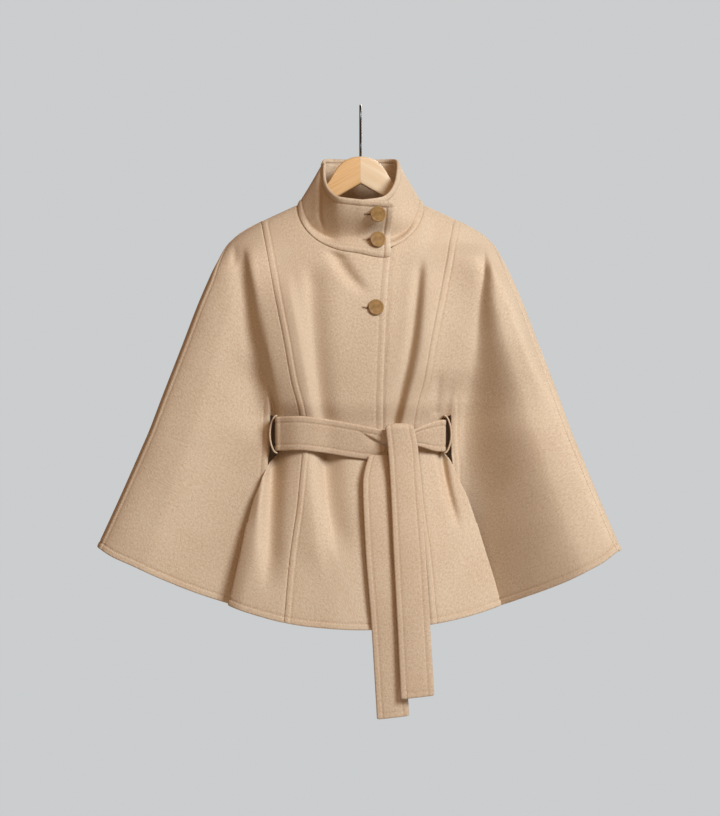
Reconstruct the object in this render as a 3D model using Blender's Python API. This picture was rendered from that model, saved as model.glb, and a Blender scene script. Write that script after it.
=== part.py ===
# Belted wool cape with a stand collar, hanging on a wooden hanger.
#
# Frame: metres, +Z up. The front faces -Y. The origin is the underside of the hook's crook, where it is held.
# Right and left are the wearer's: right is at -X.
# Cloth is a thin wall on a form that hangs from the shoulders. The form is a stack of level sections.

import math

import bmesh
import bpy
import numpy as np

# Cloth sizes
CLOTH = 0.0024          # one wall of the cape
COLLAR_CLOTH = 0.0028   # the collar, two cloths thick
BELT_CLOTH = 0.0040     # the belt, folded double
LOOP_CLOTH = 0.0018     # the belt loops
SEAM_GAP = 0.0002       # each piece stops this far from its seam line
BACK_SEAM_GAP = 0.0010  # the back stops this far from its own, where it turns in sharply
REST_GAP = 0.0004       # between pieces that lie on each other
LAP_LIFT = 0.0022       # how far the upper front stands out where the fronts lap
LAP_SINK = 0.0036       # how far the under one lies back there
MM = 0.001

# Neck
NECK_HALF_WIDTH = 0.094
NECK_LEVEL = -0.148     # where the neckline crosses the shoulder
FRONT_NECK_DROP = 0.076
BACK_NECK_DROP = 0.004
LAP_NECK_DROP = 0.0145  # how far the upper front's corner hangs below the even neckline
COLLAR_END = -0.020     # x where the under end of the collar stops

# Shoulder and hem
SIDE_TOP = -0.1745      # where the princess seam leaves the shoulder
OVERARM_INSET = 0.0048  # the overarm seam lies this far inside the outline

# Arm slits
SLIT_TOP = -0.460
SLIT_STEP = 0.0065      # the inner edge of a slit starts this much lower
SLIT_LOW = -0.620
BELT_BLEND = (-0.440, -0.515)
LEFT_FLOOR = 0.85       # share of the body's rise that goes on under the left wing's swing
LEFT_FLOOR_FADE = (-0.470, -0.350)# levels between which it fades in
FLAP_FALL = 0.30        # how much of the body's rise is lost at the flaps' edges
PLEAT = 0.012           # depth of the pleat that opens into each slit
LEFT_PLEAT_SHARE = 0.15 # and how much of it the left side has
PLEAT_FROM = -0.400
PLEAT_TO = -0.455
SLIT_DIP = 0.014        # how far the belt draws the front in beside each slit
SLIT_DIP_FROM = 0.070
SLIT_DIP_TO = 0.125
SLIT_DIP_Z = -0.490
SLIT_DIP_REACH = 0.060  # above its deepest level
LEFT_DIP_REACH = 0.040  # and on the left
SLIT_DIP_LOW = 0.026    # and below it
FLAP_ROLL = 0.008       # how far the right flap's edge rolls in below the slit
FLAP_ROLL_WIDTH = 0.022
FLAP_ROLL_FADE = (-0.530, -0.570)
LEFT_FLAP_WIDER = 0.012 # extra width of the left flap at the hem
LEFT_FLAP_FADE = (-0.560, -0.735)

# Left wing, which swings forward
SWING_PULL = 0.45       # how much the left wing's edge comes in as it swings forward
SWING_BEHIND = 0.75     # how far round the back the swing reaches, as the cosine of the angle there
SWING_LEAN = 0.10       # even slope of the swung wing
SWING_LEAN_FADE = (-0.225, -0.300)

# Belt
BELT_WIDTH = 0.046
BELT_TURN_X = 0.1185    # where a stretch turns in through its slit
BELT_TURN_RADIUS = 0.005
BELT_INSIDE_Y = -0.028  # where the front stretches meet the back one
BELT_INSIDE_Z = -0.490  # middle of the stretch inside
BELT_INSIDE_RUN = 0.026  # how far a front stretch goes on inside its slit
TURNOVER_RADIUS = 0.0080  # the upper tail's turn over the knot, to its outside
TURNOVER_BACK = 0.012   # how far that tail goes down behind the turn
TURNOVER_PUFF = 0.45    # how much less high the turn is at its two edges
TAIL_SLANT = 0.005      # how much longer a tail is on its wearer's right
TAIL_CROWN = 0.0016     # how far a tail bows out between its edges
BELT_LEAN = 0.011       # how much further out the belt's upper edge stands
KNOT_X = 0.0578
KNOT_Z = -0.5075
KNOT_HALF = (0.0178, 0.0066, 0.0130)
KNOT_TUCK = 0.0018      # the knot presses up into the hollow of the turned tail
LOOP_WIDTH = 0.008
LOOP_FOOT_X = {-1: 0.1222, 1: 0.1224}
LOOP_REACH_X = 0.1331
LOOP_SEAT_Y = {-1: -0.0008, 1: 0.0008}
LOOP_LEVELS = (-0.4615, -0.5185)

# Fittings
BUTTON_RADIUS = 0.0115
BUTTON_HEIGHT = 0.0028
BUTTON_LEAN = 0.4       # how much a button follows the cloth's slope
BUTTON_PRESS = {"button_collar_upper": 0.0005, "button_collar_lower": 0.0018}
BUTTON_SPOTS = {        # name: x, z
    "button_collar_upper": (0.0255, -0.1700),
    "button_collar_lower": (0.0255, -0.2055),
    "button_front": (0.0226, -0.3050),
}

# Hanger
HANGER_HALF_THICK = 0.0070
HANGER_EDGE = 0.0036
HANGER_TIP_THIN = 0.0012  # how much half the thickness loses toward the tip
HANGER_TIP_X = 0.1815
HANGER_CLEARANCE = 0.0019  # below the cloth of the shoulder
HANGER_TIP_CLEARANCE = 0.0016  # and this much more near the tip
WIRE_RADIUS = 0.0018
CROOK_RADIUS = 0.0185   # to the middle of the wire
SHANK_LOW = -0.0740
SHANK_BEND = -0.058
HOOK_TIP_DEG = -32.0

# Level sections: half width, depth of the front at the side, rise of the body in front, depth of the back
SECTION_COLUMNS = ("z", "half_width", "front_depth", "body_rise", "back_depth")
SECTIONS = [
    (-0.1400, 0.0810, 0.016, 0.000, 0.046),
    (-0.1465, 0.0940, 0.022, 0.000, 0.052),
    (-0.1720, 0.1480, 0.044, 0.000, 0.066),
    (-0.1905, 0.1805, 0.055, 0.001, 0.072),
    (-0.2000, 0.1915, 0.059, 0.003, 0.075),
    (-0.2085, 0.1990, 0.061, 0.006, 0.077),
    (-0.2265, 0.2090, 0.063, 0.013, 0.080),
    (-0.2900, 0.2380, 0.064, 0.025, 0.086),
    (-0.3600, 0.2655, 0.060, 0.030, 0.090),
    (-0.4400, 0.2970, 0.056, 0.024, 0.093),
    (-0.4850, 0.3140, 0.058, 0.011, 0.095),
    (-0.5150, 0.3270, 0.058, 0.013, 0.096),
    (-0.5900, 0.3600, 0.062, 0.031, 0.100),
    (-0.6580, 0.3910, 0.068, 0.044, 0.104),
    (-0.8000, 0.4560, 0.078, 0.056, 0.110),
]

# Lines across the fronts, as distances from the middle: the princess seam, the folded edge of the front,
# the inner edge of the side wing, and the reach of the bend between the two
LINE_COLUMNS = ("z", "princess", "front_edge", "wing_edge", "bend")
LINES = [
    (-0.1720, 0.1480, 0.1484, 0.1490, 0.0003),
    (-0.1905, 0.1440, 0.1510, 0.1590, 0.0026),
    (-0.2150, 0.1385, 0.1500, 0.1620, 0.0040),
    (-0.2900, 0.1240, 0.1420, 0.1580, 0.0053),
    (-0.3520, 0.1115, 0.1350, 0.1520, 0.0056),
    (-0.4110, 0.1010, 0.1270, 0.1430, 0.0053),
    (-0.4570, 0.0895, 0.1195, 0.1370, 0.0055),
    (-0.4850, 0.0860, 0.1190, 0.1370, 0.0055),
    (-0.5150, 0.0850, 0.1203, 0.1380, 0.0060),
    (-0.5300, 0.0860, 0.1315, 0.1395, 0.0080),
    (-0.5500, 0.0880, 0.1405, 0.1405, 0.0100),
    (-0.5850, 0.0910, 0.1560, 0.1415, 0.0120),
    (-0.6670, 0.1020, 0.1745, 0.1470, 0.0140),
    (-0.7350, 0.1080, 0.1900, 0.1560, 0.0140),
    (-0.8000, 0.1130, 0.2050, 0.1650, 0.0140),
]

# Where the body's rise falls away toward each side wing, and how softly
TROUGH_COLUMNS = ("z", "right_x", "right_soft", "left_x", "left_soft")
TROUGHS = [
    (-0.1900, 0.1740, 0.016, 0.1700, 0.018),
    (-0.2250, 0.1735, 0.008, 0.1720, 0.016),
    (-0.2500, 0.1710, 0.006, 0.1720, 0.016),
    (-0.2900, 0.1620, 0.007, 0.1720, 0.015),
    (-0.3600, 0.1500, 0.008, 0.1700, 0.016),
    (-0.4300, 0.1360, 0.010, 0.1600, 0.018),
    (-0.4700, 0.1270, 0.011, 0.1400, 0.018),
]

# Side wings: where the right one rises and how far, and from where to where the left one swings forward
WING_COLUMNS = ("z", "right_x", "right_soft", "right_rise", "left_from", "left_to", "left_rise")
WINGS = [
    (-0.1900, 0.180, 0.008, 0.000, 0.181, 0.192, 0.000),
    (-0.2150, 0.181, 0.008, 0.000, 0.181, 0.193, 0.002),
    (-0.2320, 0.182, 0.008, 0.001, 0.180, 0.196, 0.010),
    (-0.2500, 0.183, 0.009, 0.002, 0.179, 0.199, 0.020),
    (-0.3080, 0.190, 0.030, 0.003, 0.171, 0.215, 0.028),
    (-0.3670, 0.198, 0.040, 0.004, 0.166, 0.232, 0.033),
    (-0.4250, 0.202, 0.050, 0.005, 0.156, 0.262, 0.047),
    (-0.4900, 0.210, 0.060, 0.006, 0.149, 0.295, 0.067),
    (-0.5600, 0.215, 0.070, 0.006, 0.146, 0.335, 0.086),
    (-0.6200, 0.220, 0.080, 0.006, 0.142, 0.365, 0.097),
    (-0.6730, 0.225, 0.090, 0.006, 0.146, 0.390, 0.103),
    (-0.8000, 0.240, 0.100, 0.006, 0.160, 0.444, 0.110),
]

# Hem: its level in front and behind
HEM_COLUMNS = ("x", "front", "back")
HEMS = [
    (-0.4600, -0.6330, -0.6250),
    (-0.3930, -0.6530, -0.6530),
    (-0.3650, -0.6680, -0.6700),
    (-0.3310, -0.6825, -0.6950),
    (-0.2884, -0.7020, -0.7205),
    (-0.2403, -0.7215, -0.7385),
    (-0.1940, -0.7365, -0.7510),
    (-0.1486, -0.7500, -0.7635),
    (-0.1080, -0.7595, -0.7745),
    (-0.0675, -0.7650, -0.7815),
    (0.0000, -0.7685, -0.7860),
    (0.0675, -0.7655, -0.7815),
    (0.1080, -0.7605, -0.7745),
    (0.1486, -0.7525, -0.7635),
    (0.1940, -0.7395, -0.7510),
    (0.2403, -0.7195, -0.7385),
    (0.2884, -0.6965, -0.7205),
    (0.3310, -0.6730, -0.6950),
    (0.3650, -0.6555, -0.6620),
    (0.3930, -0.6480, -0.6480),
    (0.4600, -0.6250, -0.6250),
]

# Folds: a path down the cloth, its spread toward -X and +X, how far it stands out at its top and low end,
# and the lengths over which it comes and goes
FOLD_COLUMNS = ("x_top", "z_top", "x_mid", "z_mid", "x_low", "z_low",
                "spread_right", "spread_left", "rise_top", "rise_low", "fade_top", "fade_low")
FRONT_FOLDS = [
    (-0.176, -0.205, -0.157, -0.341, -0.130, -0.445, 0.016, 0.007, -0.0100, -0.0080, 0.040, 0.070),
    (-0.191, -0.205, -0.187, -0.222, -0.186, -0.250, 0.006, 0.006, -0.0030, -0.0030, 0.012, 0.020),
    (-0.112, -0.243, -0.091, -0.352, -0.064, -0.490, 0.022, 0.010, 0.0060, 0.0060, 0.054, 0.015),
    (-0.073, -0.233, -0.067, -0.352, -0.055, -0.480, 0.010, 0.018, -0.0060, -0.0080, 0.040, 0.012),
    (-0.043, -0.218, -0.022, -0.253, 0.010, -0.292, 0.010, 0.012, -0.0105, -0.0080, 0.014, 0.030),
    (0.100, -0.224, 0.092, -0.345, 0.058, -0.490, 0.012, 0.022, 0.0055, 0.0095, 0.050, 0.012),
    (0.0885, -0.230, 0.077, -0.345, 0.0485, -0.485, 0.008, 0.006, -0.0055, -0.0090, 0.030, 0.010),
    (0.165, -0.205, 0.160, -0.300, 0.140, -0.440, 0.070, 0.032, 0.0160, 0.0080, 0.030, 0.050),
    (0.116, -0.393, 0.113, -0.425, 0.110, -0.465, 0.006, 0.006, -0.0020, -0.0030, 0.025, 0.008),
    (-0.129, -0.498, -0.131, -0.560, -0.134, -0.730, 0.011, 0.017, -0.0270, -0.0100, 0.010, 0.080),
    (-0.080, -0.498, -0.072, -0.590, -0.056, -0.720, 0.022, 0.013, 0.0085, 0.0040, 0.010, 0.080),
    (-0.0545, -0.498, -0.046, -0.590, -0.026, -0.680, 0.009, 0.022, -0.0180, -0.0090, 0.010, 0.060),
    (0.116, -0.500, 0.125, -0.559, 0.146, -0.640, 0.006, 0.006, -0.0150, -0.0040, 0.010, 0.050),
    (-0.150, -0.365, -0.140, -0.425, -0.137, -0.510, 0.034, 0.008, -0.0130, -0.0100, 0.050, 0.050),
    (-0.138, -0.505, -0.142, -0.550, -0.155, -0.640, 0.007, 0.007, 0.0100, 0.0020, 0.015, 0.050),
]
WING_FOLDS = [row for row in FRONT_FOLDS if row[1] > SLIT_TOP]
BACK_FOLDS = [
    (-0.060, -0.230, -0.085, -0.500, -0.120, -0.860, 0.030, 0.022, -0.0150, -0.0190, 0.139, 0.126),
    (0.052, -0.260, 0.075, -0.500, 0.105, -0.860, 0.024, 0.032, -0.0130, -0.0200, 0.132, 0.120),
    (-0.150, -0.300, -0.195, -0.520, -0.250, -0.840, 0.028, 0.036, -0.0100, -0.0150, 0.119, 0.108),
    (0.155, -0.280, 0.190, -0.520, 0.240, -0.840, 0.036, 0.026, -0.0110, -0.0160, 0.123, 0.112),
    (-0.005, -0.420, -0.008, -0.600, -0.012, -0.880, 0.026, 0.030, 0.0080, 0.0110, 0.101, 0.092),
]

# Top rim of the collar, from the middle of the front round one side to the middle of the back
RIM_COLUMNS = ("turn_deg", "x", "y", "z")
RIM = [
    (0.0, 0.0000, -0.0990, -0.1510),
    (30.0, 0.0330, -0.0890, -0.1450),
    (52.0, 0.0470, -0.0640, -0.1310),
    (75.0, 0.0545, -0.0270, -0.1080),
    (90.0, 0.0565, -0.0040, -0.0900),
    (105.0, 0.0560, 0.0150, -0.0795),
    (120.0, 0.0510, 0.0300, -0.0755),
    (145.0, 0.0345, 0.0450, -0.0745),
    (180.0, 0.0000, 0.0510, -0.0745),
]
RIM_LAP = (0.0470, -0.1000, -0.1540)   # the upper front corner of the collar

# Hollow across the collar, deepest at one level
FRONT_HOLLOW = 17.0 * MM
SIDE_HOLLOW = 3.5 * MM
HOLLOW_Z = -0.2025
HOLLOW_ABOVE = 25.0 * MM
HOLLOW_BELOW = 10.0 * MM

# Front edge of the upper front, and the belt's two front stretches: middle line and height
EDGE_COLUMNS = ("z", "x")
FRONT_EDGE = [(-0.2300, 0.0425), (-0.3000, 0.0370), (-0.4700, 0.0315), (-0.8000, 0.0315)]
BELT_COLUMNS = ("x", "middle_z", "height")
BELT_RIGHT = [
    (-0.1300, -0.4900, 0.046),
    (-0.0900, -0.4885, 0.046),
    (-0.0600, -0.4915, 0.046),
    (-0.0230, -0.4975, 0.046),
    (0.0200, -0.5045, 0.043),
    (0.0262, -0.5052, 0.0415),
    (0.0375, -0.5020, 0.031),
]
BELT_LEFT = [
    (0.0812, -0.4949, 0.0215),
    (0.0920, -0.4935, 0.029),
    (0.1110, -0.4920, 0.0395),
    (0.1300, -0.4890, 0.0430),
]
BELT_INSIDE = [
    (0.1230, BELT_INSIDE_Y), (0.1270, 0.002), (0.1200, 0.030),
    (0.0980, 0.050), (0.0560, 0.062), (0.0, 0.066),
]

# Belt tails, as hung from the knot: both edges, and how far each stands off the front
TAIL_COLUMNS = ("z", "x_right", "x_left", "stand_off")
TAIL_OVER = [
    (-0.4815, 0.0380, 0.0760, 0.0180),
    (-0.5130, 0.0415, 0.0820, 0.0200),
    (-0.5560, 0.0445, 0.0840, 0.0185),
    (-0.6500, 0.0485, 0.0910, 0.0160),
    (-0.7600, 0.0540, 0.0975, 0.0165),
    (-0.8620, 0.0590, 0.1035, 0.0195),
]
TAIL_UNDER = [
    (-0.5280, 0.0115, 0.0472, 0.0009),
    (-0.5400, 0.0080, 0.0475, 0.0009),
    (-0.5600, 0.0050, 0.0480, 0.0014),
    (-0.6500, 0.0085, 0.0520, 0.0014),
    (-0.7600, 0.0170, 0.0605, 0.0014),
    (-0.8930, 0.0250, 0.0680, 0.0019),
]

# Wooden hanger: upper and lower edge from the middle outward. Beyond the last row it follows the shoulder.
WOOD_COLUMNS = ("x", "top_z")
WOOD_TOP = [
    (0.0000, -0.0745),
    (0.0100, -0.0757),
    (0.0200, -0.0792),
    (0.0300, -0.0862),
    (0.0380, -0.0962),
    (0.0440, -0.1065),
    (0.0520, -0.1180),
    (0.0650, -0.1310),
    (0.0800, -0.1420),
    (0.0940, -0.1500),
]
WOOD_APEX_Z = -0.1155
WOOD_SLOPE = 0.567

BUTTON_COLUMNS = ("radius_share", "height_share")
BUTTON_PROFILE = [
    (0.0, 0.0), (0.88, 0.0), (1.0, 0.25), (1.0, 0.62),
    (0.93, 0.92), (0.84, 1.0), (0.72, 0.88), (0.0, 0.80),
]

# Mesh counts: columns and rows of each piece
FRONT_COLUMNS = 14
SIDE_ZONES = (6, 6, 14)
ROWS_ABOVE_SLIT = 10
SLIT_ROW_SHARES = (0.0, 0.165, 0.325, 0.45, 0.70)
ROWS_BELOW_SLIT = 5
SHOULDER_ROWS = 3
BACK_COLUMNS = 26
COLLAR_ROWS = 8
BELT_ROWS = 4
WIRE_SIDES = 10
BUTTON_SIDES = 24


def column(table, names, wanted):
    """One named column of a table."""
    place = names.index(wanted)
    return np.array([row[place] for row in table], float)


def smooth_line(marks, values):
    """A smooth line through marks and values that never overshoots, straight on beyond both ends."""
    order = np.argsort(marks)
    marks = np.asarray(marks, float)[order]
    values = np.asarray(values, float)[order]
    step = np.diff(marks)
    slope = np.diff(values) / step
    tangent = np.zeros(len(values))
    tangent[0] = slope[0]
    tangent[-1] = slope[-1]
    for i in range(1, len(values) - 1):
        if slope[i - 1] * slope[i] > 0:
            near = 2 * step[i] + step[i - 1]
            far = step[i] + 2 * step[i - 1]
            tangent[i] = (near + far) / (near / slope[i - 1] + far / slope[i])

    def at(mark):
        mark = np.asarray(mark, float)
        i = np.clip(np.searchsorted(marks, mark) - 1, 0, len(step) - 1)
        raw = (mark - marks[i]) / step[i]
        t = np.clip(raw, 0.0, 1.0)
        start = values[i] * (1 + 2 * t) * (1 - t) ** 2 + tangent[i] * step[i] * t * (1 - t) ** 2
        end = values[i + 1] * t * t * (3 - 2 * t) + tangent[i + 1] * step[i] * t * t * (t - 1)
        beyond = np.where(raw < 0, raw * tangent[i], np.where(raw > 1, (raw - 1) * tangent[i + 1], 0.0))
        return start + end + beyond * step[i]

    return at


def smooth_step(value, low, high):
    """0 at low, 1 at high, soft between. low may be the larger one."""
    t = np.clip((value - low) / (high - low), 0.0, 1.0)
    return t * t * (3 - 2 * t)


def lines_of(table, names):
    """Every other column of a table as a smooth line over its first column."""
    marks = column(table, names, names[0])
    return {name: smooth_line(marks, column(table, names, name)) for name in names[1:]}


SECTION = lines_of(SECTIONS, SECTION_COLUMNS)
LINE = lines_of(LINES, LINE_COLUMNS)
TROUGH = lines_of(TROUGHS, TROUGH_COLUMNS)
EDGE = lines_of(FRONT_EDGE, EDGE_COLUMNS)
WING = lines_of(WINGS, WING_COLUMNS)
HEM = lines_of(HEMS, HEM_COLUMNS)
RIM_LINE = lines_of(RIM, RIM_COLUMNS)
WOOD = lines_of(WOOD_TOP, WOOD_COLUMNS)


def fold_sum(x, z, rows):
    """How far the folds move the cloth out at x, z."""
    total = np.zeros(np.broadcast(x, z).shape)
    for row in rows:
        fold = dict(zip(FOLD_COLUMNS, row))
        path = smooth_line(
            [fold["z_top"], fold["z_mid"], fold["z_low"]],
            [fold["x_top"], fold["x_mid"], fold["x_low"]],
        )
        off = x - path(z)
        spread = np.where(off < 0, fold["spread_right"], fold["spread_left"])
        down = fold["z_top"] - z
        length = fold["z_top"] - fold["z_low"]
        fade = smooth_step(down, 0.0, fold["fade_top"]) * smooth_step(length - down, 0.0, fold["fade_low"])
        rise = fold["rise_top"] + (fold["rise_low"] - fold["rise_top"]) * np.clip(down / length, 0, 1)
        total = total + rise * fade * np.exp(-((off / spread) ** 2))
    return total


def body_rise(x, z, part):
    """Share of the body's rise at x: all of it in the middle, none out on the wings."""
    right = 1 / (1 + np.exp(np.clip((-x - TROUGH["right_x"](z)) / TROUGH["right_soft"](z), -40, 40)))
    left = 1 / (1 + np.exp(np.clip((x - TROUGH["left_x"](z)) / TROUGH["left_soft"](z), -40, 40)))
    floor = LEFT_FLOOR * smooth_step(z, *LEFT_FLOOR_FADE)
    above = np.where(x < 0, right, floor + (1 - floor) * left)
    below = 1 - FLAP_FALL * (x / LINE["front_edge"](z)) ** 2 if part == "front" else 0.0
    blend = smooth_step(z, *BELT_BLEND)
    return above * (1 - blend) + below * blend


def left_swing(x, z):
    """How far the left wing swings forward at x: fast beside the body, then slowly on to its edge."""
    share = np.clip((x - WING["left_from"](z)) / (WING["left_to"](z) - WING["left_from"](z)), 0, 1)
    lean = SWING_LEAN * np.maximum(x - WING["left_from"](z), 0) * smooth_step(z, *SWING_LEAN_FADE)
    return WING["left_rise"](z) * share ** 2 * (10 - 20 * share + 15 * share ** 2 - 4 * share ** 3) + lean


def wing_rise(x, z, cosine):
    """How far a wing stands out beside the body. The left one swings forward as a whole, edge and all."""
    right = WING["right_rise"](z) * smooth_step((-x - WING["right_x"](z)) / WING["right_soft"](z), -1, 1)
    return np.where(x < 0, right * smooth_step(cosine, 0.0, 0.8), left_swing(x, z))


def swing_pull(x, z, cosine):
    """The edge of the left wing comes in a little toward the body as it swings forward."""
    pull = SWING_PULL * WING["left_rise"](z) * smooth_step(np.abs(cosine), 0.55, 0.15)
    return np.where(x > 0, x * (1 - pull), x)


def edge_round(cosine, z):
    """The section's round: an ellipse in the middle, squarer toward the overarm seam."""
    size = np.abs(cosine)
    square = (1 - (1 - size ** 2) ** 4) ** (1 / 8)
    sharp = smooth_step(size, 0.92, 0.60) * smooth_step(z, -0.185, -0.255)
    return np.sign(cosine) * (size * (1 - sharp) + square * sharp)


def front_y(x, z, cosine, part, lap=0):
    """Depth of the front at x, z. lap is 1 on the upper front, -1 on the under one."""
    inside_edge = smooth_step(cosine, 0.22, 0.50)
    depth = SECTION["front_depth"](z) * edge_round(cosine, z)
    depth = depth + SECTION["body_rise"](z) * body_rise(x, z, part) * inside_edge
    if part == "wing":
        depth = depth + wing_rise(x, z, cosine)
    if part == "front":
        toward_slit = np.clip((np.abs(x) - SLIT_DIP_FROM) / (SLIT_DIP_TO - SLIT_DIP_FROM), 0, 1.2) ** 2
        reach = np.where(z > SLIT_DIP_Z, np.where(x < 0, SLIT_DIP_REACH, LEFT_DIP_REACH), SLIT_DIP_LOW)
        depth = depth - SLIT_DIP * toward_slit * np.exp(-(((z - SLIT_DIP_Z) / reach) ** 2))
        near_edge = np.clip(1 - (LINE["front_edge"](z) + x) / FLAP_ROLL_WIDTH, 0, 1.3) ** 2
        depth = depth - FLAP_ROLL * near_edge * smooth_step(z, *FLAP_ROLL_FADE)
    if lap > 0:
        depth = depth + LAP_LIFT * smooth_step(x, -0.075, -0.028)
    if lap < 0:
        depth = depth - LAP_SINK * smooth_step(x, 0.100, 0.052)
    return -(depth + fold_sum(x, z, FRONT_FOLDS if part == "front" else WING_FOLDS) * inside_edge)


def cosine_at(x, z):
    return np.sqrt(np.maximum(1 - (x / SECTION["half_width"](z)) ** 2, 0.0))


def band_bed(marks, seen, reach, soft):
    """A smooth line over what stands out most along a band: seen(mark) is the depth across it at a mark."""
    fine = np.linspace(marks[0], marks[1], 241)
    step = fine[1] - fine[0]
    depth = np.min([seen(fine + d) for d in np.arange(-reach, reach + step, step)], axis=0)
    near = np.arange(-3 * soft, 3 * soft + step, step)
    weight = np.exp(-((near / soft) ** 2))
    pad = len(near) // 2
    smooth = np.convolve(np.pad(depth, pad, mode="edge"), weight / weight.sum(), mode="same")[pad:-pad]
    return smooth_line(fine, smooth)


def hem_level(x_of, layer):
    """Level where a column that runs down at x_of(level) meets the hem."""
    z = np.full_like(x_of(-0.7), -0.70)
    for _ in range(20):
        z = HEM[layer](x_of(z))
    return z


def solve_level(inside, high, low):
    """Level between high and low where inside(level) turns false on the way down."""
    high = np.array(high, float)
    low = np.array(low, float)
    for _ in range(40):
        middle = (high + low) / 2
        still = inside(middle)
        high = np.where(still, middle, high)
        low = np.where(still, low, middle)
    return (high + low) / 2


def front_neck_level(angle_of, lap):
    def inside(z):
        x = SECTION["half_width"](z) * np.sin(angle_of(z))
        sag = LAP_NECK_DROP * smooth_step(x, -0.012, 0.050) if lap > 0 else 0.0
        below = np.maximum(NECK_LEVEL - sag - z, 0.0)
        return (x / NECK_HALF_WIDTH) ** 2 + (below / FRONT_NECK_DROP) ** 2 < 1

    start = np.zeros_like(angle_of(np.array(NECK_LEVEL)))
    return solve_level(inside, start - 0.1405, start - 0.2700)


def back_neck_level(angle):
    def inside(z):
        x = SECTION["half_width"](z) * np.sin(angle)
        below = np.maximum(NECK_LEVEL - z, 0.0)
        return (x / NECK_HALF_WIDTH) ** 2 + (below / BACK_NECK_DROP) ** 2 < 1

    return solve_level(inside, np.full_like(angle, -0.1445), np.full_like(angle, -0.1600))


def seam_shares(top, seam_levels):
    """Rows as shares of the way from neck to hem, so that two pieces meet row by row along their seam."""
    levels = np.concatenate([np.linspace(top, SIDE_TOP, SHOULDER_ROWS + 1)[:-1], seam_levels])
    return (levels - top) / (levels[-1] - top)


def neck_angles(lap):
    """Angles of the neckline's front end and of its shoulder end."""
    if lap > 0:
        end = EDGE["x"](-0.230) / SECTION["half_width"](-0.230)
    else:
        end = COLLAR_END / SECTION["half_width"](-0.224)
    return math.asin(end), -lap * math.pi / 2


def centre_front(lap, seam_levels):
    """Surface of a centre front between four borders: c from its front edge to the princess seam, v down."""
    shares = seam_shares(-0.1465, seam_levels)

    def neck(c):
        start, end = neck_angles(lap)
        angle = start + (end - start) * c
        z = front_neck_level(lambda level: angle, lap)
        return SECTION["half_width"](z) * np.sin(angle), z

    def edge(v):
        x, top = neck(np.zeros_like(v))
        low = HEM["front"](EDGE["x"](-0.77) if lap > 0 else COLLAR_END)
        z = top + (low - top) * v
        return (EDGE["x"](z) if lap > 0 else np.full_like(z, COLLAR_END)), z

    def seam(v):
        _, top = neck(np.ones_like(v))
        low = hem_level(lambda z: -lap * LINE["princess"](z), "front")
        z = top + (low - top) * v
        return -lap * np.minimum(LINE["princess"](z), SECTION["half_width"](z)), z

    def surface(c, v):
        v = np.interp(v, np.linspace(0, 1, len(shares)), shares)
        edge_low, seam_low = edge(np.ones_like(v))[0], seam(np.ones_like(v))[0]
        hem_x = edge_low + (seam_low - edge_low) * c
        hem = hem_x, HEM["front"](hem_x)
        corners = (neck(0 * c), neck(0 * c + 1), edge(0 * v + 1), seam(0 * v + 1))
        borders = zip(neck(c), hem, edge(v), seam(v), *corners)
        x, z = (
            (1 - v) * top + v * low + (1 - c) * near + c * far
            - (1 - v) * ((1 - c) * a + c * b) - v * ((1 - c) * d + c * e)
            for top, low, near, far, a, b, d, e in borders
        )
        return np.stack([x, front_y(x, z, cosine_at(x, z), "front", lap), z], -1)

    return surface


ZONE_ENDS = (0.30, 0.55)
ROW_ENDS = (0.40, 0.68)


def overarm_angle(z):
    """Angle of the overarm seam: on the ridge at the shoulder, a little in front of it below."""
    below = np.arcsin(1 - OVERARM_INSET / SECTION["half_width"](z))
    return np.pi / 2 + (below - np.pi / 2) * smooth_step(z, -0.195, -0.270)


def side_section(c, z, side, with_depth=True):
    """Point of a side front at level z: front part, bend under the folded edge, then the wing."""
    width = SECTION["half_width"](z)
    wider = LEFT_FLAP_WIDER * smooth_step(z, *LEFT_FLAP_FADE) if side > 0 else 0.0
    edge = np.minimum(LINE["front_edge"](z) + wider, width * 0.995)
    wing = np.minimum(LINE["wing_edge"](z), width * 0.998)
    princess = np.minimum(LINE["princess"](z), width * 0.99)
    reach = LINE["bend"](z)
    t = (c - ZONE_ENDS[0]) / (ZONE_ENDS[1] - ZONE_ENDS[0])
    weights = ((1 - t) ** 3, 3 * t * (1 - t) ** 2, 3 * t * t * (1 - t), t ** 3)
    front_u = princess + (edge - princess) * c / ZONE_ENDS[0]
    bend_u = sum(w * p for w, p in zip(weights, (edge, edge + reach, wing - reach, wing)))
    start = np.arcsin(np.clip(wing / width, -1, 1))
    angle = start + (overarm_angle(z) - start) * (c - ZONE_ENDS[1]) / (1 - ZONE_ENDS[1])
    wing_u = width * np.sin(angle)
    u = np.where(c < ZONE_ENDS[0], front_u, np.where(c <= ZONE_ENDS[1], bend_u, wing_u))
    if not with_depth:
        return side * u

    def on(part, at):
        return front_y(side * at, z, cosine_at(at, z), part)

    tiny = 1e-4
    front_depth = on("front", np.minimum(front_u, width))
    a = on("front", edge)
    d = on("wing", wing)
    a_slope = np.clip((a - on("front", edge - tiny)) / tiny, -2, 2)
    d_slope = np.clip((on("wing", wing + tiny) - d) / tiny, -2, 2)
    bend_depth = sum(w * p for w, p in zip(weights, (a, a + reach * a_slope, d - reach * d_slope, d)))
    pleat = PLEAT * smooth_step(z, PLEAT_FROM, PLEAT_TO) * smooth_step(z, SLIT_LOW, SLIT_TOP)
    pleat = pleat * (1.0 if side < 0 else LEFT_PLEAT_SHARE)
    bend_depth = bend_depth + pleat * np.sin(np.pi * np.clip(t, 0, 1)) ** 2
    wing_depth = front_y(side * wing_u, z, np.cos(angle), "wing")
    y = np.where(c < ZONE_ENDS[0], front_depth, np.where(c <= ZONE_ENDS[1], bend_depth, wing_depth))
    return swing_pull(side * u, z, cosine_at(u, z)), y


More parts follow.
